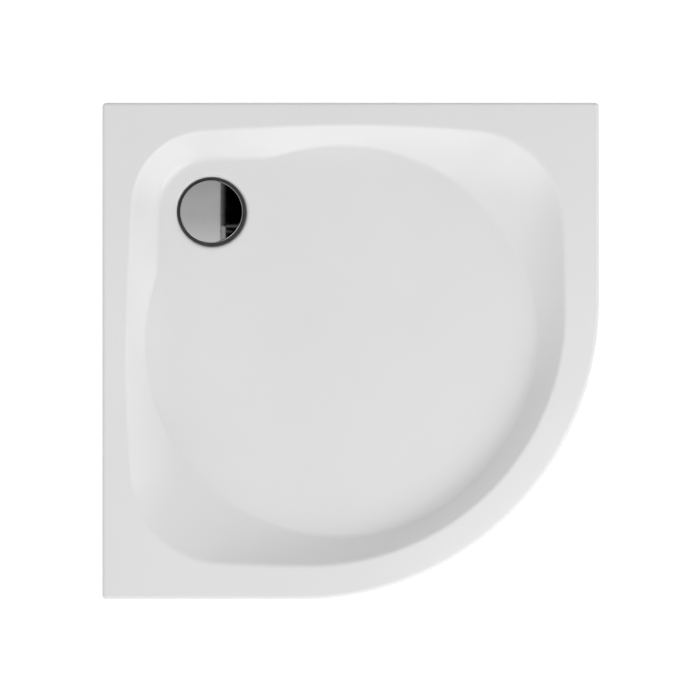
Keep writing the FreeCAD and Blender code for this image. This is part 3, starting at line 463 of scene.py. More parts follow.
def outline_hit(deg):
    """Where a ray from the bowl's middle leaves the tray's plan, and the outward normal there."""
    dx, dy = math.cos(math.radians(deg)), math.sin(math.radians(deg))

    def at(t):
        return CX + t * dx, CY + t * dy

    for cx, cy, a0 in CORNERS:
        b = (CX - cx) * dx + (CY - cy) * dy
        disc = b * b - ((CX - cx) ** 2 + (CY - cy) ** 2 - CORNER_R ** 2)
        if disc > 0:
            x, y = at(-b + math.sqrt(disc))
            a = math.degrees(math.atan2(y - cy, x - cx)) % 360.0
            if a0 - 1e-6 <= a <= a0 + 90 + 1e-6:
                return x, y, (x - cx) / CORNER_R, (y - cy) / CORNER_R
    hits = []
    if dx > 1e-9:
        x, y = at((E - CX) / dx)
        if FC <= y <= E - CORNER_R + 1e-6:
            return x, y, 1.0, 0.0
    if dx < -1e-9:
        x, y = at((-E - CX) / dx)
        if -E + CORNER_R - 1e-6 <= y <= E - CORNER_R + 1e-6:
            return x, y, -1.0, 0.0
    if dy > 1e-9:
        x, y = at((E - CY) / dy)
        if -E + CORNER_R - 1e-6 <= x <= E - CORNER_R + 1e-6:
            return x, y, 0.0, 1.0
    if dy < -1e-9:
        x, y = at((-E - CY) / dy)
        if -E + CORNER_R - 1e-6 <= x <= -FC:
            return x, y, 0.0, -1.0
    t = ray_circle(dx, dy, (-FC, FC), FRONT_R)
    x, y = at(t)
    return x, y, (x + FC) / FRONT_R, (y - FC) / FRONT_R


def ray_angles():
    """Directions from the bowl's middle: even, closer at the drain lobe and round the plan's small corners."""
    a = [i * 0.5 for i in range(720)] + [100.25 + 0.5 * i for i in range(140)]
    for cx, cy, a0 in CORNERS:
        for k in range(9):
            t = math.radians(a0 + 90.0 * k / 8.0)
            a.append(bearing((cx + CORNER_R * math.cos(t), cy + CORNER_R * math.sin(t))) % 360.0)
    a.sort()
    keep = [a[0]]
    for v in a[1:]:
        if v - keep[-1] > 0.012:
            keep.append(v)
    return keep


ANGLES = ray_angles()


def drain_chain(px, py, zf_edge, top):
    """Points from the waste hole out to a point of the floor's edge, along a ray from the drain."""
    d = math.hypot(px - DX, py - DY)
    ux, uy = (px - DX) / d, (py - DY) / d

    def p(r, z):
        return (DX + ux * r, DY + uy * r, z)

    def fz(r):
        return floor_height(DX + ux * r, DY + uy * r)

    if top:
        out = [p(HOLE_R, SEAT_Z - WALL_A + 0.6), p(HOLE_R, SEAT_Z - 0.6), p(HOLE_R + 0.6, SEAT_Z), p(53.0, SEAT_Z), p(SEAT_R - 0.8, SEAT_Z)]
        n = 12
        for i in range(n + 1):
            a = math.radians(90.0 * i / n)
            r = SEAT_R + (RECESS_R - 0.5 - SEAT_R) * (1 - math.cos(a))
            out.append(p(r, SEAT_Z + 0.4 + (fz(r) - SEAT_Z - 0.4) * math.sin(a)))
        r0 = RECESS_R - 0.5
        for s in (1.2 / (d - r0), 0.25, 0.5, 0.75, 1 - 1.5 / (d - r0)):
            r = r0 + (d - r0) * s
            out.append(p(r, fz(r)))
        return out
    out = []
    for s in (1 - 2.0 / (d - 74.0), 0.5, 0.0):
        r = 74.0 + (d - 74.0) * s
        out.append(p(r, fz(r) - WALL_A))
    out += [p(66.0, SEAT_Z - WALL_A), p(HOLE_R + 0.6, SEAT_Z - WALL_A)]
    return out


def tray_columns():
    cols = []
    for deg in ANGLES:
        c, s = math.cos(math.radians(deg)), math.sin(math.radians(deg))
        prof = bowl_profile(deg, 0.0, None, 5.0, 1.0, 6.0, 12, 16, 9)
        bowl = [(CX + r * c, CY + r * s, z) for r, z in prof]
        col = drain_chain(bowl[0][0], bowl[0][1], bowl[0][2], True) + bowl
        ox, oy, nx, ny = outline_hit(deg)
        ix, iy = ox - nx * EDGE_R, oy - ny * EDGE_R
        rx, ry = bowl[-1][0], bowl[-1][1]
        w = math.hypot(ix - rx, iy - ry)
        for t in (1.0 / w, 0.5, 1 - 1.0 / w):
            col.append((rx + (ix - rx) * t, ry + (iy - ry) * t, DECK_Z))
        for i in range(10):
            a = math.radians(90.0 * i / 9)
            k = EDGE_R * math.sin(a)
            col.append((ix + nx * k, iy + ny * k, DECK_Z - EDGE_R + EDGE_R * math.cos(a)))
        for inset, z in ((0, 141.5), (0, 128.0), (0, SKIRT_Z + 0.9), (0.25, SKIRT_Z + 0.25), (0.9, SKIRT_Z), (WALL_A - 0.6, SKIRT_Z), (WALL_A, SKIRT_Z + 0.6),
                         (WALL_A, 130.0), (WALL_A, 142.8), (WALL_A + 0.5, 144.8), (WALL_A + 1.6, 146.0), (WALL_A + 3.5, DECK_Z - WALL_A)):
            col.append((ox - nx * inset, oy - ny * inset, z))
        under = [(CX + r * c, CY + r * s, z) for r, z in bowl_profile(deg, WALL_A, None, 9.0, 1.0, 4.0, 5, 6, 4)]
        col += list(reversed(under))
        col += drain_chain(under[0][0], under[0][1], 0.0, False)
        cols.append(col)
    return cols


v, f = grid(tray_columns())
tray = make("tray_top", v, f, "tray", acrylic.m, sharp=38.0)
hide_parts("acrylic_shell")

# ------------------------------------------------------------------------------------------------
# Waste cover: pressed dish, domed, with a rounded edge and a turned-down lip
# ------------------------------------------------------------------------------------------------
DOME, TOP, RAD, LIP, THK, RND = 1300.0, 102.4, 57.5, 98.4, 1.2, 1.6


def dome_z(r, drop=0.0):
    return TOP - drop - (DOME - math.sqrt(DOME * DOME - r * r))


prof = [(0.0, TOP)] + [(r, dome_z(r)) for r in (2, 6, 12, 18, 24, 30, 36, 42, 47, 51, 54, 55.2)]
edge = dome_z(RAD - RND)
prof += arc(RAD - RND, edge - RND, RND, 86, 0, 10)
prof += [(RAD, LIP + 0.5), (RAD - 0.15, LIP + 0.12), (RAD - 0.5, LIP), (RAD - THK + 0.2, LIP), (RAD - THK, LIP + 0.3)]
prof += [(RAD - THK, edge - 2.2), (RAD - THK - 0.6, edge - 1.4)] + [(r, dome_z(r, THK)) for r in (53, 46, 36, 24, 12)] + [(0.0, TOP - THK)]
v, f = lathe_mesh(prof, 192, (DX, DY, 0), closed=False)
cover = make("cover_dish", v, f, "cover", chrome.m, sharp=50.0)
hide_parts("waste_cover")

# ------------------------------------------------------------------------------------------------
# Glass-fibre backing under the acrylic
# ------------------------------------------------------------------------------------------------
def lump(x, y, z, f, amp):
    return amp * noise.noise(Vector((x * f, y * f, z * f)))


def laminate_columns():
    cols = []
    gap = 0.12
    for k in range(480):
        deg = 360.0 * k / 480.0
        c, s = math.cos(math.radians(deg)), math.sin(math.radians(deg))
        face = [(CX + r * c, CY + r * s, z) for r, z in bowl_profile(deg, WALL_A + gap, None, 9.0, 1.0, 4.0, 6, 8, 4)]
        d = math.hypot(face[0][0] - DX, face[0][1] - DY)
        ux, uy = (face[0][0] - DX) / d, (face[0][1] - DY) / d
        col = [(DX + ux * r, DY + uy * r, z) for r, z in ((HOLE_R + 0.4, SEAT_Z - WALL_A - gap), (66.0, SEAT_Z - WALL_A - gap))]
        for t in (0.0, 0.5, 1 - 2.0 / (d - 74.0)):
            r = 74.0 + (d - 74.0) * t
            col.append((DX + ux * r, DY + uy * r, floor_height(DX + ux * r, DY + uy * r) - WALL_A - gap))
        col += face
        ox, oy, nx, ny = outline_hit(deg)
        for inset, z in ((WALL_A + 3.6, DECK_Z - WALL_A - gap), (WALL_A + 1.8, 145.7), (WALL_A + 0.8, 144.5), (WALL_A + gap, 142.4), (WALL_A + gap, 128.0), (WALL_A + gap, SKIRT_Z + 2.0)):
            col.append((ox - nx * inset, oy - ny * inset, z))
        back = []
        for inset, z in ((4.6, SKIRT_Z + 2.4), (5.8, SKIRT_Z + 6.0), (6.0, 118.0), (6.0, 124.0), (6.0, 130.0), (6.0, 136.0), (6.2, 141.0), (8.0, 143.4), (10.5, 144.0)):
            x, y = ox - nx * inset, oy - ny * inset
            q = lump(x, y, z, 0.09, 0.8) + lump(x, y, z, 0.3, 0.35) if 5.9 < inset else 0.0
            back.append((x - nx * q, y - ny * q, z))
        shell = bowl_profile(deg, WALL_A + WALL_L, FLAT_Z, 3.0, 0.0, 2.5, 4, 16, 3)
        x0, y0 = ox - nx * 10.5, oy - ny * 10.5
        x1, y1 = CX + shell[-1][0] * c, CY + shell[-1][0] * s
        for t in (0.35, 0.7):
            x, y = x0 + (x1 - x0) * t, y0 + (y1 - y0) * t
            back.append((x, y, 144.0 - 0.5 + lump(x, y, 0.0, 0.09, 0.7) + lump(x, y, 0.0, 0.3, 0.3)))
        for r, z in reversed(shell):
            x, y = CX + r * c, CY + r * s
            q = lump(x, y, z, 0.07, 0.9) + lump(x, y, z, 0.28, 0.4)
            back.append((x + c * q, y + s * q, z + 0.3 + 0.25 * q if z > FLAT_Z + 1.0 else z + 0.35 + 0.3 * q))
        col += back
        bx, by = back[-1][0], back[-1][1]
        e = math.hypot(bx - DX, by - DY)
        vx, vy = (bx - DX) / e, (by - DY) / e
        for t in (0.85, 0.6, 0.35, 0.12, 0.0):
            r = 76.0 + (e - 76.0) * t
            x, y = DX + vx * r, DY + vy * r
            col.append((x, y, FLAT_Z + 0.3 + 0.25 * lump(x, y, 0.0, 0.12, 1.0)))
        col += [(DX + vx * 73.4, DY + vy * 73.4, FLAT_Z - 0.4), (DX + vx * 73.0, DY + vy * 73.0, 87.5), (DX + vx * 72.4, DY + vy * 72.4, 87.06),
                (DX + vx * 58.0, DY + vy * 58.0, 87.06), (DX + vx * (HOLE_R + 0.8), DY + vy * (HOLE_R + 0.8), 87.06), (DX + vx * (HOLE_R + 0.3), DY + vy * (HOLE_R + 0.3), 87.5)]
        cols.append(col)
    return cols


v, f = grid(laminate_columns())
o = make("laminate_skin", v, f, "tray", laminate.m, sharp=48.0)
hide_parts("laminate_backing")


def repaint(node, mat):
    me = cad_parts[node].data
    me.materials.clear()
    me.materials.append(mat.m)


repaint("base_board", board)
for n in ("side_rail_left", "side_rail_right", "cross_rail_back", "cross_rail_front", "outrigger_rail"):
    repaint(n, galvanised)


# ------------------------------------------------------------------------------------------------
# Frame: weld beads, end caps, screws
# ------------------------------------------------------------------------------------------------
def bead(p0, p1, r, rng):
    """A weld bead: a rippled rope of metal along a seam, thin at its ends."""
    p0, p1 = Vector(p0), Vector(p1)
    ax = (p1 - p0).normalized()
    u = ax.orthogonal().normalized()
    w = ax.cross(u)
    n, length = 12, (p1 - p0).length
    rows = max(12, int(length / 0.55))
    ph = rng.uniform(0, 1)
    verts, faces = [], []
    for i in range(rows + 1):
        t = i / rows
        d = t * length
        end = min(1.0, 6 * t + 0.25, 6 * (1 - t) + 0.25)
        saw = ((d / 1.9 + ph) % 1.0)
        k = r * end * (0.86 + 0.18 * (1 - saw) ** 2) * (1.0 + 0.06 * math.sin(d * 0.9 + 7 * ph))
        mid = p0 + ax * d + u * 0.25 * math.sin(d * 0.55 + 3 * ph) + w * 0.2 * math.cos(d * 0.7)
        verts += [tuple(mid + (u * math.cos(2 * math.pi * j / n) + w * math.sin(2 * math.pi * j / n)) * k) for j in range(n)]
    for i in range(rows):
        for j in range(n):
            faces.append((i * n + j, i * n + (j + 1) % n, (i + 1) * n + (j + 1) % n, (i + 1) * n + j))
    faces.append(tuple(range(n)))
    faces.append(tuple(rows * n + j for j in range(n)))
    return verts, faces


rng = random.Random(11)
beads = []
TUBE_Z0, TUBE_Z1 = 53.3, 78.3
for x, y in ((-332.5, 110.0), (202.5, 110.0), (-332.5, -150.0), (202.5, -150.0), (227.5, 110.0)):
    for side in (-1, 1):
        beads.append(bead((x, y + side * 12.6, TUBE_Z0 + 1.6), (x, y + side * 12.6, TUBE_Z1 - 2.6), 2.1, rng))
    beads.append(bead((x, y - 11.0, TUBE_Z0 + 0.9), (x, y + 11.0, TUBE_Z0 + 0.9), 2.0, rng))
v, f = join_meshes(*beads)
weld = make("weld_beads", v, f, "tray", galvanised.m, sharp=60.0)


def rrect(w, h, r, n=5):
    pts = []
    for cx, cy, a0 in ((w / 2 - r, h / 2 - r, 0), (-w / 2 + r, h / 2 - r, 90), (-w / 2 + r, -h / 2 + r, 180), (w / 2 - r, -h / 2 + r, 270)):
        pts += [(cx + r * math.cos(math.radians(a0 + 90.0 * i / n)), cy + r * math.sin(math.radians(a0 + 90.0 * i / n))) for i in range(n + 1)]
    return pts


def loops(rings):
    """A closed body from rings of equal point count, capped at both ends."""
    n = len(rings[0])
    verts = [p for ring in rings for p in ring]
    faces = [(i * n + j, i * n + (j + 1) % n, (i + 1) * n + (j + 1) % n, (i + 1) * n + j) for i in range(len(rings) - 1) for j in range(n)]
    faces.append(tuple(reversed(range(n))))
    faces.append(tuple((len(rings) - 1) * n + j for j in range(n)))
    return verts, faces


def end_cap(x, y, dx, dy):
    """A moulded plug: eased square plate with a shallow pressed panel, and a ribbed plug in the tube."""
    def put(ring, h):
        return [((x + dx * h) - dy * a, (y + dy * h) + dx * a, 65.8 + b) for a, b in ring]

    rings = []
    for side, r, h in ((21.6, 1.2, -8.9), (21.7, 1.3, -8.0), (21.0, 1.3, -7.6), (21.0, 1.3, -6.0), (21.7, 1.3, -5.6), (21.7, 1.3, -4.2), (21.0, 1.3, -3.8), (21.0, 1.3, 0.05)):
        rings.append(put(rrect(side, side, r), h))
    for side, r, h in ((24.6, 2.4, 0.06), (25.0, 2.5, 0.3), (25.0, 2.5, 1.1), (24.7, 2.5, 1.6), (24.0, 2.4, 1.92), (23.2, 2.2, 2.0), (18.6, 1.8, 2.0), (18.2, 1.6, 1.9), (17.8, 1.5, 1.55), (17.2, 1.4, 1.45)):
        rings.append(put(rrect(side, side, r), h))
    return loops(rings)


v, f = join_meshes(end_cap(-345, 385, 0, 1), end_cap(-345, -385, 0, -1), end_cap(215, 385, 0, 1), end_cap(215, -300, 0, -1), end_cap(395, 110, 1, 0))
o = make("end_caps", v, f, "tray", black.m, sharp=40.0)
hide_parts("rail_end_caps")


def cross_head(x, y, z, r, h, up, turn, flat=0.55):
    """A screw's pan head with a cross recess, seen along up (+1 or -1); z is the bearing face."""
    n, rows = 96, 26
    ca, sa = math.cos(turn), math.sin(turn)

    def height(a, rad):
        q = rad / r
        base = h * (1 - (1 - flat) * max(0.0, (q - 0.55) / 0.45) ** 2.2)
        px, py = rad * math.cos(a), rad * math.sin(a)
        u, w = abs(px * ca + py * sa), abs(-px * sa + py * ca)
        arm = min(max(0.0, (0.62 * r - u) / (0.08 * r)), 1.0) * min(max(0.0, (0.15 * r - w) / (0.05 * r)), 1.0)
        arm2 = min(max(0.0, (0.62 * r - w) / (0.08 * r)), 1.0) * min(max(0.0, (0.15 * r - u) / (0.05 * r)), 1.0)
        deep = h * 0.62 * (1 - 0.45 * q)
        return base - deep * max(arm, arm2)

    cols = []
    for i in range(n):
        a = 2 * math.pi * i / n
        col = []
        for k in range(1, rows + 1):
            rad = r * k / rows
            col.append((x + rad * math.cos(a), y + rad * math.sin(a), z + up * height(a, rad)))
        col.append((x + r * math.cos(a), y + r * math.sin(a), z))
        cols.append(col)
    verts, faces = grid(cols, True, False)
    faces.append(tuple(i * (rows + 1) for i in range(n)))
    faces.append(tuple(i * (rows + 1) + rows for i in range(n)))
    return verts, faces


def rod(x, y, z0, z1, r):
    return lathe_mesh(soft([(0, z0), (r, z0), (r, z1), (0, z1)], 0.25, closed=False), 24, (x, y, 0), closed=False)


SCREWS = [(sx, 110.0) for sx in (-270.0, -110.0, 50.0, 160.0)] + [(sx, -150.0) for sx in (-240.0, -100.0, 40.0, 160.0)]
parts = []
for sx, sy in SCREWS:
    parts += [cross_head(sx, sy, 76.8, 4.2, 2.6, -1, rng.uniform(0, 1.5)), rod(sx, sy, 76.7, 88.3, 1.95)]
o = make("board_screw_set", *join_meshes(*parts), "tray", zinc.m, sharp=40.0)
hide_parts("board_screws")


# ------------------------------------------------------------------------------------------------
# Levelling feet
# ------------------------------------------------------------------------------------------------
def hex_body(x, y, z0, z1, circum, turn, bore=None):
    """A hexagon with chamfered corners; a nut if it has a bore."""
    n, ap = 96, circum * math.cos(math.radians(30))
    start = ap * 0.965
    cols = []
    for i in range(n):
        a = 360.0 * i / n
        k = (a % 60.0) - 30.0
        rh = ap / math.cos(math.radians(k))
        drop = max(0.0, (rh - start) * 0.55)
        inner = bore if bore else 0.6
        prof = [(inner + (0.6 if bore else 0), z0), (start, z0), (rh - 0.12, z0 + drop), (rh, z0 + drop + 0.15), (rh, (z0 + z1) / 2), (rh, z1 - drop - 0.15), (rh - 0.12, z1 - drop), (start, z1), (inner + (0.6 if bore else 0), z1)]
        if bore:
            prof += [(bore, z1 - 0.6), (bore, z0 + 0.6)]
        t = math.radians(a + turn)
        cols.append([(x + r * math.cos(t), y + r * math.sin(t), z) for r, z in prof])
    verts, faces = grid(cols, True, bool(bore))
    if not bore:
        m = len(cols[0])
        faces.append(tuple(i * m for i in range(n)))
        faces.append(tuple(i * m + m - 1 for i in range(n)))
    return verts, faces


def thread(x, y, z0, z1, major, pitch, n=30, per=9):
    """A right-hand screw thread as one helical surface, run out at both ends and capped."""
    minor = major - 0.61 * pitch
    rows = int((z1 - z0) / pitch * per)
    cols = []
    for j in range(n):
        a = 2 * math.pi * j / n
        col = []
        for i in range(rows + 1):
            z = z0 + (z1 - z0) * i / rows
            t = (z / pitch - j / n) % 1.0
            k = min(max((abs(2 * t - 1) - 0.22) / 0.64, 0.0), 1.0)
            ends = min(1.0, (z - z0) / 1.2, (z1 - z) / 1.2)
            r = minor + (major - minor) * k * max(ends, 0.0) - 0.5 * (1 - max(ends, 0.0))
            col.append((x + r * math.cos(a), y + r * math.sin(a), z))
        cols.append(col)
    verts, faces = grid(cols, True, False)
    faces.append(tuple(j * (rows + 1) for j in range(n)))
    faces.append(tuple(j * (rows + 1) + rows for j in range(n)))
    return verts, faces


def pad_mesh(x, y):
    """A moulded foot: dished underside with rings, stepped skirt, ribs up to the socket's hub."""
    under = [(0.0, 1.6), (6.0, 1.6), (6.6, 0.9), (9.0, 0.9), (9.6, 1.6), (13.0, 1.6), (13.6, 0.6), (16.0, 0.6), (16.6, 1.4), (20.0, 1.4), (20.6, 0.3), (22.0, 0.0)]
    body = soft(under + [(28.0, 0.0), (28.0, 3.0), (24.0, 7.5), (22.4, 7.5), (13.0, 8.2), (11.5, 9.5), (11.5, 16.0), (5.08, 16.0), (5.08, 4.0), (0.0, 4.0)], 0.7, 4, False)
    parts = [lathe_mesh(body, 96, (x, y, 0), closed=False)]
    for i in range(12):
        t = math.radians(30.0 * i)
        ca, sa = math.cos(t), math.sin(t)
        rings = []
        for r, top in ((10.8, 14.6), (12.0, 14.2), (15.0, 12.0), (19.0, 9.6), (23.0, 7.7), (24.2, 6.6)):
            w = 1.0
            sect = [(-w, 5.0), (-w, top - 0.5), (-w + 0.3, top - 0.12), (-w + 0.6, top), (w - 0.6, top), (w - 0.3, top - 0.12), (w, top - 0.5), (w, 5.0)]
            rings.append([(x + ca * r - sa * q, y + sa * r + ca * q, z) for q, z in sect])
        parts.append(loops(rings))
    return join_meshes(*parts)


FEET = {"back_left": (-345.0, 365.0), "front_left": (-345.0, -365.0), "back_right": (215.0, 365.0), "front_right": (215.0, -275.0), "side": (370.0, 110.0)}
locks, welds = [], []
for foot, (fx, fy) in FEET.items():
    o = make("pad_" + foot, *pad_mesh(fx, fy), "pad_" + foot, black.m, sharp=42.0)
    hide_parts("foot_pad_" + foot)
    neck = lathe_mesh(soft([(0, 4.3), (4.0, 4.3), (4.95, 5.3), (4.95, 16.6), (0, 16.6)], 0.3, closed=False), 40, (fx, fy, 0), closed=False)
    o = make("stud_" + foot, *join_meshes(neck, hex_body(fx, fy, 16.3, 22.3, 9.8, 0.0), thread(fx, fy, 22.2, 98.0, 4.97, 1.5)), "stud_" + foot, zinc.m, sharp=38.0)
    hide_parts("foot_stud_" + foot)
    locks.append(hex_body(fx, fy, 45.3, 53.25, 9.8, 12.0, 5.06))
    welds.append(hex_body(fx, fy, 54.85, 62.8, 9.8, 30.0, 5.06))
for name, node, meshes in (("lock_nut_set", "lock_nuts", locks), ("weld_nut_set", "weld_nuts", welds)):
    o = make(name, *join_meshes(*meshes), "tray", zinc.m, sharp=30.0)
    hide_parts(node)


# ------------------------------------------------------------------------------------------------
# Waste
# ------------------------------------------------------------------------------------------------
def turned(name, points, e, body, mat, node, n=128, at=(DX, DY, 0), axis="z", closed=True, extra=()):
    parts = [lathe_mesh(soft(points, e, 4, closed), n, at, axis, closed)] + list(extra)
    o = make(name, *join_meshes(*parts), body, mat.m, sharp=42.0)
    if node:
        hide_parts(node)
    return o


# a real rubber seal under the flange, but its black band outside the cover, out to r 63.8, is widened to stand in for
# the shadowed gap round the cover: partly real seal, partly painted shade
turned("seal_and_painted_gap_shade", [(46.5, 93.0), (63.8, 93.0), (63.8, 95.0), (46.5, 95.0)], 0.6, "tray", rubber, "flange_seal")
turned("seal_over_body", [(46.5, 85.0), (56.0, 85.0), (56.0, 87.0), (46.5, 87.0)], 0.6, "tray", rubber, "body_seal")
turned("clamp_ring", [(33.0, 93.0), (44.5, 93.0), (44.5, 95.0), (56.0, 95.0), (56.0, 97.0), (43.0, 97.0), (43.0, 95.0), (33.0, 95.0)], 0.7, "tray", stainless, "waste_flange", 160)
parts = []
for a in (30.0, 150.0, 270.0):
    px, py = DX + 39.0 * math.cos(math.radians(a)), DY + 39.0 * math.sin(math.radians(a))
    parts += [cross_head(px, py, 95.0, 3.5, 2.2, 1, rng.uniform(0, 1.5)), rod(px, py, 80.0, 95.1, 1.95)]
o = make("clamp_screw_set", *join_meshes(*parts), "tray", stainless.m, sharp=40.0)
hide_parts("flange_screws")


def solid_of(name, verts, faces):
    me = bpy.data.meshes.new(name)
    me.from_pydata([(x * MM * 100, y * MM * 100, z * MM * 100) for x, y, z in verts], [], faces)
    bm = bmesh.new()
    bm.from_mesh(me)
    bmesh.ops.recalc_face_normals(bm, faces=bm.faces)
    bm.to_mesh(me)
    bm.free()
    o = bpy.data.objects.new(name, me)
    scene.collection.objects.link(o)
    return o


def combined(base, steps):
    """The mesh of a solid after joining and cutting others; the helpers are removed."""
    a = solid_of("tmp_base", *base)
    tools = []
    for op, m in steps:
        b = solid_of("tmp_tool", *m)
        mod = a.modifiers.new("b", "BOOLEAN")
        mod.operation, mod.object, mod.solver = op, b, "EXACT"
        tools.append(b)
    dg = bpy.context.evaluated_depsgraph_get()
    me = bpy.data.meshes.new_from_object(a.evaluated_get(dg))
    verts = [tuple(c * 10.0 for c in v.co) for v in me.vertices]
    faces = [tuple(p.vertices) for p in me.polygons]
    for o in tools + [a]:
        d = o.data
        bpy.data.objects.remove(o)
        bpy.data.meshes.remove(d)
    bpy.data.meshes.remove(me)
    return verts, faces


pot = lathe_mesh(soft([(0, 10.0), (50.0, 10.0), (50.0, 81.0), (58.0, 81.0), (58.0, 85.0), (43.5, 85.0), (43.5, 92.8), (35.5, 92.8), (35.5, 78.0), (47.5, 78.0), (47.5, 12.5), (0, 12.5)], 1.6, 4, False), 128, (DX, DY, 0), closed=False)
stub = lathe_mesh(soft([(0, 40.0), (27.5, 40.0), (27.5, 77.0), (0, 77.0)], 0.8, 3, False), 96, (DX, DY, 38.0), "y", False)
way = lathe_mesh([(0, 21.0), (24.3, 21.0), (24.3, 78.0), (0, 78.0)], 96, (DX, DY, 38.0), "y", False)
body = combined(pot, [("UNION", stub), ("DIFFERENCE", way)])
ribs = []
for i in range(10):
    t = math.radians(36.0 * i - 18.0)
    if abs(math.sin(t) - 1.0) < 0.08:
        continue
    ca, sa = math.cos(t), math.sin(t)
    rings = []
    for z, reach in ((58.0, 50.2), (62.0, 51.0), (70.0, 53.2), (78.0, 56.2), (81.3, 57.2)):
        rings.append([(DX + ca * r - sa * q, DY + sa * r + ca * q, z) for r, q in ((49.0, -1.0), (reach - 0.4, -1.0), (reach, -0.6), (reach, 0.6), (reach - 0.4, 1.0), (49.0, 1.0))])
    ribs.append(loops(rings))
# a moulding flash line round the pot and a stepped foot ring
ribs.append(lathe_mesh(soft([(49.6, 45.6), (50.35, 45.9), (50.35, 46.3), (49.6, 46.6)], 0.15, 2), 128, (DX, DY, 0)))
ribs.append(lathe_mesh(soft([(30.0, 9.4), (34.0, 9.4), (34.0, 10.6), (30.0, 10.6)], 0.5, 3), 96, (DX, DY, 0)))
# union thread on the stub
ribs.append(lathe_mesh([(26.8, 42.6)] + [(27.0 + (0.45 if (k % 4) in (1, 2) else 0.0), 55.5 + k * 1.0) for k in range(0, 20)] + [(26.8, 76.0)], 96, (DX, DY, 38.0), "y", True))
o = make("trap_pot", *join_meshes(body, *ribs), "tray", pp.m, sharp=36.0)
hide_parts("trap_body")

OUT = (DX, DY, 38.0)
turned("outlet_ring", [(24.0, 77.0), (27.4, 77.0), (27.4, 78.5), (24.0, 78.5)], 0.5, "tray", rubber, "outlet_seal", 96, OUT, "y")


def union_nut():
    """A ring nut with eight grips; the grips are eased and fall away at both ends."""
    n = 288
    cols = []
    for i in range(n):
        a = 2 * math.pi * i / n
        k = ((math.degrees(a) + 22.5) % 45.0) - 22.5
        q = min(max((6.6 - abs(k)) / 1.7, 0.0), 1.0)
        q = q * q * (3 - 2 * q)
        fine = 0.22 * (0.5 + 0.5 * math.cos(math.radians(k * 16.0))) * (1 - q)
        ro = 29.8 + 2.15 * q + fine
        prof = [(27.6, 60.2), (28.4, 60.0), (29.2, 60.0), (min(ro, 29.8), 60.5), (ro, 61.8), (ro, 70.0), (ro, 79.4), (min(ro, 30.2), 81.6), (29.3, 82.3), (28.6, 82.5),
                (23.9, 82.5), (23.25, 82.2), (23.15, 81.6), (23.6, 80.0), (24.0, 78.6), (27.5, 78.55), (27.55, 70.0)]
        cols.append([(OUT[0] + r * math.cos(a), OUT[1] + h, OUT[2] + r * math.sin(a)) for r, h in prof])
    return grid(cols)


o = make("union_ring_nut", *union_nut(), "tray", pp.m, sharp=38.0)
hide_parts("union_nut")

# swivelling spigot: ball, neck bead and pipe with a lead-in chamfer
ball = [(math.sqrt(24.0 ** 2 - h * h), 74.0 + h) for h in (-14.0, -11.0, -8.0, -4.0, 0.0, 4.0, 8.0, 11.0, 12.8)]
prof = [(17.8, 60.0)] + ball + [(20.3, 87.4), (20.0, 88.6), (20.0, 110.0), (20.0, 147.4), (19.7, 148.4), (18.9, 149.8), (18.6, 150.0), (18.0, 150.0), (17.8, 149.7), (17.8, 105.0)]
turned("outlet_pipe", prof, 0.35, "outlet", pp, "outlet_spigot", 112, OUT, "y")

# lift-out insert
bars = []
for ax in (0, 1):
    sect = [(-1.2, 80.3), (-0.9, 80.0), (0.9, 80.0), (1.2, 80.3), (1.2, 82.0), (0.8, 82.4), (-0.8, 82.4), (-1.2, 82.0)]
    rings = [[((DX + h, DY + q, z) if ax == 0 else (DX + q, DY + h, z)) for q, z in sect] for h in (-18.6, 0.0, 18.6)]
    bars.append(loops(rings))
turned("dip_pipe", [(18.0, 48.0), (19.5, 48.0), (19.5, 95.8), (35.0, 95.8), (35.0, 98.0), (18.0, 98.0)], 0.7, "insert", pp, "dip_tube", 112, extra=bars)
fins = []
for a in (0.0, 120.0, 240.0):
    ca, sa = math.cos(math.radians(a)), math.sin(math.radians(a))
    rings = []
    for r in (19.52, 25.0, 31.2):
        top = 72.0
        rings.append([(DX + ca * r - sa * q, DY + sa * r + ca * q, z) for q, z in ((-1.0, 52.0), (1.0, 52.0), (1.0, top - 0.4), (0.6, top), (-0.6, top), (-1.0, top - 0.4))])
    fins.append(loops(rings))
turned("water_cup", [(0, 42.0), (32.0, 42.0), (32.0, 76.0), (30.5, 76.0), (30.5, 43.5), (0, 43.5)], 1.2, "insert", pp, "seal_cup", 112, closed=False, extra=fins)
turned("insert_ring", [(33.3, 95.05), (35.0, 95.05), (35.0, 95.8), (33.3, 95.8)], 0.3, "insert", rubber, "insert_seal", 96)
repaint("cover_carrier", pp)

# ------------------------------------------------------------------------------------------------
# Stage: floor, light, camera
# ------------------------------------------------------------------------------------------------
def stage_plane(name, x0, x1, y0, y1, z, material):
    me = bpy.data.meshes.new(name)
    me.from_pydata([(x0, y0, z), (x1, y0, z), (x1, y1, z), (x0, y1, z)], [], [(0, 1, 2, 3)])
    me.materials.append(material)
    o = bpy.data.objects.new(name, me)
    scene.collection.objects.link(o)
    return o


white = bpy.data.materials.new("stage_white")
white.use_nodes = True
t = white.node_tree
t.nodes.clear()
# a pool of white light round the object, paler grey further off, with a soft shadow where the object closes off the floor
co = t.nodes.new("ShaderNodeTexCoord")
far = t.nodes.new("ShaderNodeVectorMath")
far.operation = "LENGTH"
t.links.new(co.outputs["Object"], far.inputs[0])
pool = t.nodes.new("ShaderNodeMapRange")
pool.interpolation_type = "SMOOTHSTEP"
t.links.new(far.outputs["Value"], pool.inputs["Value"])
for k, x in zip(("From Min", "From Max", "To Min", "To Max"), (1.0, 3.0, 1.0, 0.58)):
    pool.inputs[k].default_value = x
ao = t.nodes.new("ShaderNodeAmbientOcclusion")
ao.samples = 24
ao.inputs["Distance"].default_value = 0.42
shade = t.nodes.new("ShaderNodeValToRGB")
for at in (0.2, 0.4):
    shade.color_ramp.elements.new(at)
for el, (at, level) in zip(shade.color_ramp.elements, ((0.03, 0.26), (0.2, 0.52), (0.4, 0.78), (0.6, 1.0))):
    el.position, el.color = at, (level, level, level, 1)
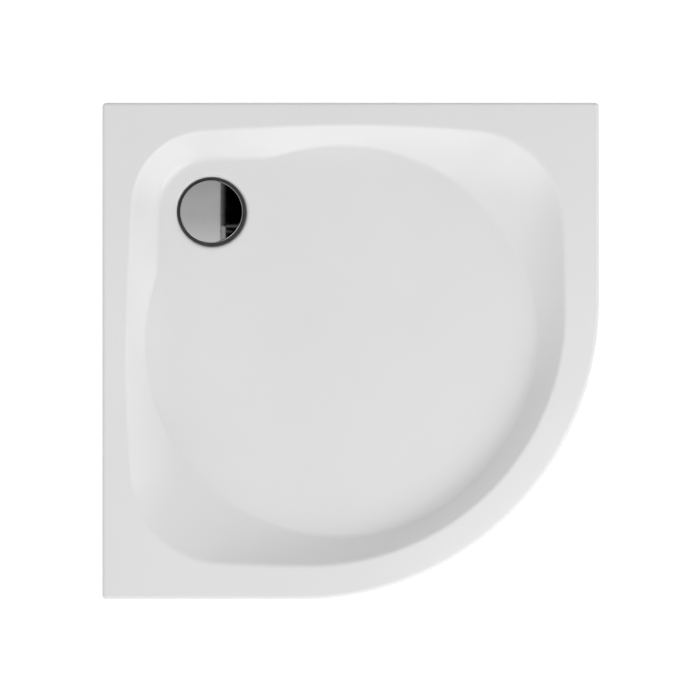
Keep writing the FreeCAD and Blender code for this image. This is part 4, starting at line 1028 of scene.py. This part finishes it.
t.links.new(ao.outputs["AO"], shade.inputs["Fac"])
both = t.nodes.new("ShaderNodeMath")
both.operation = "MULTIPLY"
t.links.new(shade.outputs["Color"], both.inputs[0])
t.links.new(pool.outputs["Result"], both.inputs[1])
lit = t.nodes.new("ShaderNodeEmission")
lit.inputs["Color"].default_value = (1.14, 1.14, 1.14, 1)
t.links.new(both.outputs["Value"], lit.inputs["Strength"])
# seen from below the floor is clear, so that the underside shows
geo = t.nodes.new("ShaderNodeNewGeometry")
clear = t.nodes.new("ShaderNodeBsdfTransparent")
pick = t.nodes.new("ShaderNodeMixShader")
out = t.nodes.new("ShaderNodeOutputMaterial")
t.links.new(geo.outputs["Backfacing"], pick.inputs["Fac"])
t.links.new(lit.outputs["Emission"], pick.inputs[1])
t.links.new(clear.outputs["BSDF"], pick.inputs[2])
t.links.new(pick.outputs["Shader"], out.inputs["Surface"])
floor = stage_plane("stage_floor", -60, 60, -60, 60, 0.0, white)
floor.visible_diffuse = floor.visible_glossy = floor.visible_shadow = False

# a far round wall carries the floor's pale grey on past the horizon and fades into the sky
haze = bpy.data.materials.new("stage_haze")
haze.use_nodes = True
t = haze.node_tree
t.nodes.clear()
co = t.nodes.new("ShaderNodeTexCoord")
sp = t.nodes.new("ShaderNodeSeparateXYZ")
up = t.nodes.new("ShaderNodeMath")
up.operation = "ABSOLUTE"
fade = t.nodes.new("ShaderNodeMapRange")
fade.interpolation_type = "SMOOTHSTEP"
lit = t.nodes.new("ShaderNodeEmission")
out = t.nodes.new("ShaderNodeOutputMaterial")
t.links.new(co.outputs["Object"], sp.inputs[0])
t.links.new(sp.outputs["Z"], up.inputs[0])
t.links.new(up.outputs["Value"], fade.inputs["Value"])
for k, x in zip(("From Min", "From Max", "To Min", "To Max"), (0.0, 14.0, 0.6612, 0.416)):
    fade.inputs[k].default_value = x
lit.inputs["Color"].default_value = (1, 1, 1, 1)
t.links.new(fade.outputs["Result"], lit.inputs["Strength"])
t.links.new(lit.outputs["Emission"], out.inputs["Surface"])
me = bpy.data.meshes.new("stage_wall")
ring = [(30.0 * math.cos(math.pi * i / 72), 30.0 * math.sin(math.pi * i / 72)) for i in range(144)]
me.from_pydata([(x, y, z) for z in (-14.0, 14.0) for x, y in ring], [], [(i, (i + 1) % 144, 144 + (i + 1) % 144, 144 + i) for i in range(144)])
me.materials.append(haze)
wall = bpy.data.objects.new("stage_wall", me)
scene.collection.objects.link(wall)
wall.visible_diffuse = wall.visible_glossy = wall.visible_transmission = wall.visible_shadow = False


def card(name, x0, x1, y0, y1, z, level):
    """A studio card that shows only in reflections."""
    m = bpy.data.materials.new(name)
    m.use_nodes = True
    m.node_tree.nodes.clear()
    em = m.node_tree.nodes.new("ShaderNodeEmission")
    em.inputs["Color"].default_value = (1, 1, 1, 1)
    em.inputs["Strength"].default_value = level
    out = m.node_tree.nodes.new("ShaderNodeOutputMaterial")
    m.node_tree.links.new(em.outputs[0], out.inputs["Surface"])
    o = stage_plane(name, x0, x1, y0, y1, z, m)
    o.visible_camera = o.visible_diffuse = o.visible_shadow = o.visible_transmission = False
    return o


# light coming back off the floor, even all over
bounce = card("stage_bounce", -9, 9, -9, 9, -0.0005, 0.75)
bounce.visible_diffuse = True


def card_fade(name, x0, x1, y0, y1, z, stops, along="Y"):
    """A card whose light fades along one axis; stops are (0..1 from its low end, level)."""
    m = bpy.data.materials.new(name)
    m.use_nodes = True
    t = m.node_tree
    t.nodes.clear()
    co = t.nodes.new("ShaderNodeTexCoord")
    sp = t.nodes.new("ShaderNodeSeparateXYZ")
    rp = t.nodes.new("ShaderNodeValToRGB")
    em = t.nodes.new("ShaderNodeEmission")
    out = t.nodes.new("ShaderNodeOutputMaterial")
    t.links.new(co.outputs["Generated"], sp.inputs[0])
    t.links.new(sp.outputs[along], rp.inputs["Fac"])
    while len(rp.color_ramp.elements) < len(stops):
        rp.color_ramp.elements.new(0.5)
    for el, (at, level) in zip(rp.color_ramp.elements, stops):
        el.position, el.color = at, (level, level, level, 1)
    t.links.new(rp.outputs["Color"], em.inputs["Color"])
    t.links.new(em.outputs[0], out.inputs["Surface"])
    o = stage_plane(name, x0, x1, y0, y1, z, m)
    o.visible_camera = o.visible_diffuse = o.visible_shadow = o.visible_transmission = False
    return o


card("card_black", -0.351, 2.4, -2.4, 2.4, 3.4, 0.0)
card_fade("card_strip_upper", -0.417, -0.351, 0.340, 2.4, 3.4, ((0.0, 0.125), (0.35, 0.105), (1.0, 0.004)), "X")
card("card_strip_lower", -0.405, -0.351, -2.4, 0.340, 3.4, 0.42)
card("card_strip_edge", -0.417, -0.405, -2.4, 0.340, 3.4, 0.12)
card("card_bar_a", -0.338, -0.153, 0.330, 0.357, 3.39, 0.125)
card("card_bar_b", -0.338, -0.258, 0.262, 0.282, 3.39, 0.08)
card_fade("card_left", -1.5, -0.417, -0.2, 1.3, 3.4, ((0.15, 0.86), (0.27, 0.78), (0.45, 0.62), (0.62, 0.585), (0.80, 0.50)))

world = bpy.data.worlds.new("studio")
scene.world = world
world.use_nodes = True
wt = world.node_tree
bg = wt.nodes["Background"]
tc = wt.nodes.new("ShaderNodeTexCoord")
sep = wt.nodes.new("ShaderNodeSeparateXYZ")
rmp = wt.nodes.new("ShaderNodeValToRGB")
mr = wt.nodes.new("ShaderNodeMapRange")
wt.links.new(tc.outputs["Generated"], sep.inputs[0])
wt.links.new(sep.outputs["Z"], mr.inputs["Value"])
mr.inputs["From Min"].default_value = -1.0
mr.inputs["From Max"].default_value = 1.0
wt.links.new(mr.outputs[0], rmp.inputs["Fac"])
els = rmp.color_ramp.elements
els[0].position, els[0].color = 0.48, (0.10, 0.10, 0.10, 1)
els[1].position, els[1].color = 0.51, (0.416, 0.416, 0.416, 1)
wt.links.new(rmp.outputs["Color"], bg.inputs["Color"])
bg.inputs["Strength"].default_value = 1.0


def area(name, loc, target, size_x, size_y, power, colour=(1, 1, 1)):
    l = bpy.data.lights.new(name, "AREA")
    l.shape = "RECTANGLE"
    l.size, l.size_y = size_x, size_y
    l.energy = power
    l.color = colour
    o = bpy.data.objects.new(name, l)
    scene.collection.objects.link(o)
    o.location = loc
    o.rotation_mode = "QUATERNION"
    o.rotation_quaternion = (Vector(target) - Vector(loc)).to_track_quat("-Z", "Y")
    return o


def sun(name, azimuth, elevation, angle, strength):
    l = bpy.data.lights.new(name, "SUN")
    l.energy = strength
    l.angle = math.radians(angle)
    o = bpy.data.objects.new(name, l)
    scene.collection.objects.link(o)
    a, e = math.radians(azimuth), math.radians(elevation)
    d = Vector((math.cos(a) * math.cos(e), math.sin(a) * math.cos(e), math.sin(e)))
    o.location = d * 5.0
    o.rotation_mode = "QUATERNION"
    o.rotation_quaternion = (-d).to_track_quat("-Z", "Y")
    return o


for name, az, el, power in (("key", -45.0, 40.0, 1.077), ("fill_front", -90.0, 12.0, 0.41), ("fill_right", 0.0, 12.0, 0.11), ("fill_left", 180.0, 12.0, 0.528), ("fill_back", 90.0, 12.0, 0.266)):
    sun(name, az, el, 40.0, power).visible_glossy = False
sun("sheen_front", -135.0, 40.0, 30.0, 0.225).visible_diffuse = False
area("soft_front", (0.8, -0.8, 1.6), (0.16, -0.16, 0.1), 1.2, 1.2, 6.6)

cam_data = bpy.data.cameras.new("camera")
cam = bpy.data.objects.new("camera", cam_data)
scene.collection.objects.link(cam)
PX = 1.808 * MM
HEIGHT = 2.95
cam.location = (-0.7 * PX, 0.95 * PX, DECK_Z * MM + HEIGHT)
cam.rotation_euler = (0, 0, 0)
cam_data.sensor_width = 36.0
cam_data.lens = 36.0 * HEIGHT / (700.0 * PX)
cam_data.clip_start, cam_data.clip_end = 0.05, 60.0
scene.camera = cam
scene.view_settings.view_transform = "Standard"
scene.view_settings.look = "None"
scene.view_settings.exposure = 0.0
scene.view_settings.gamma = 1.0
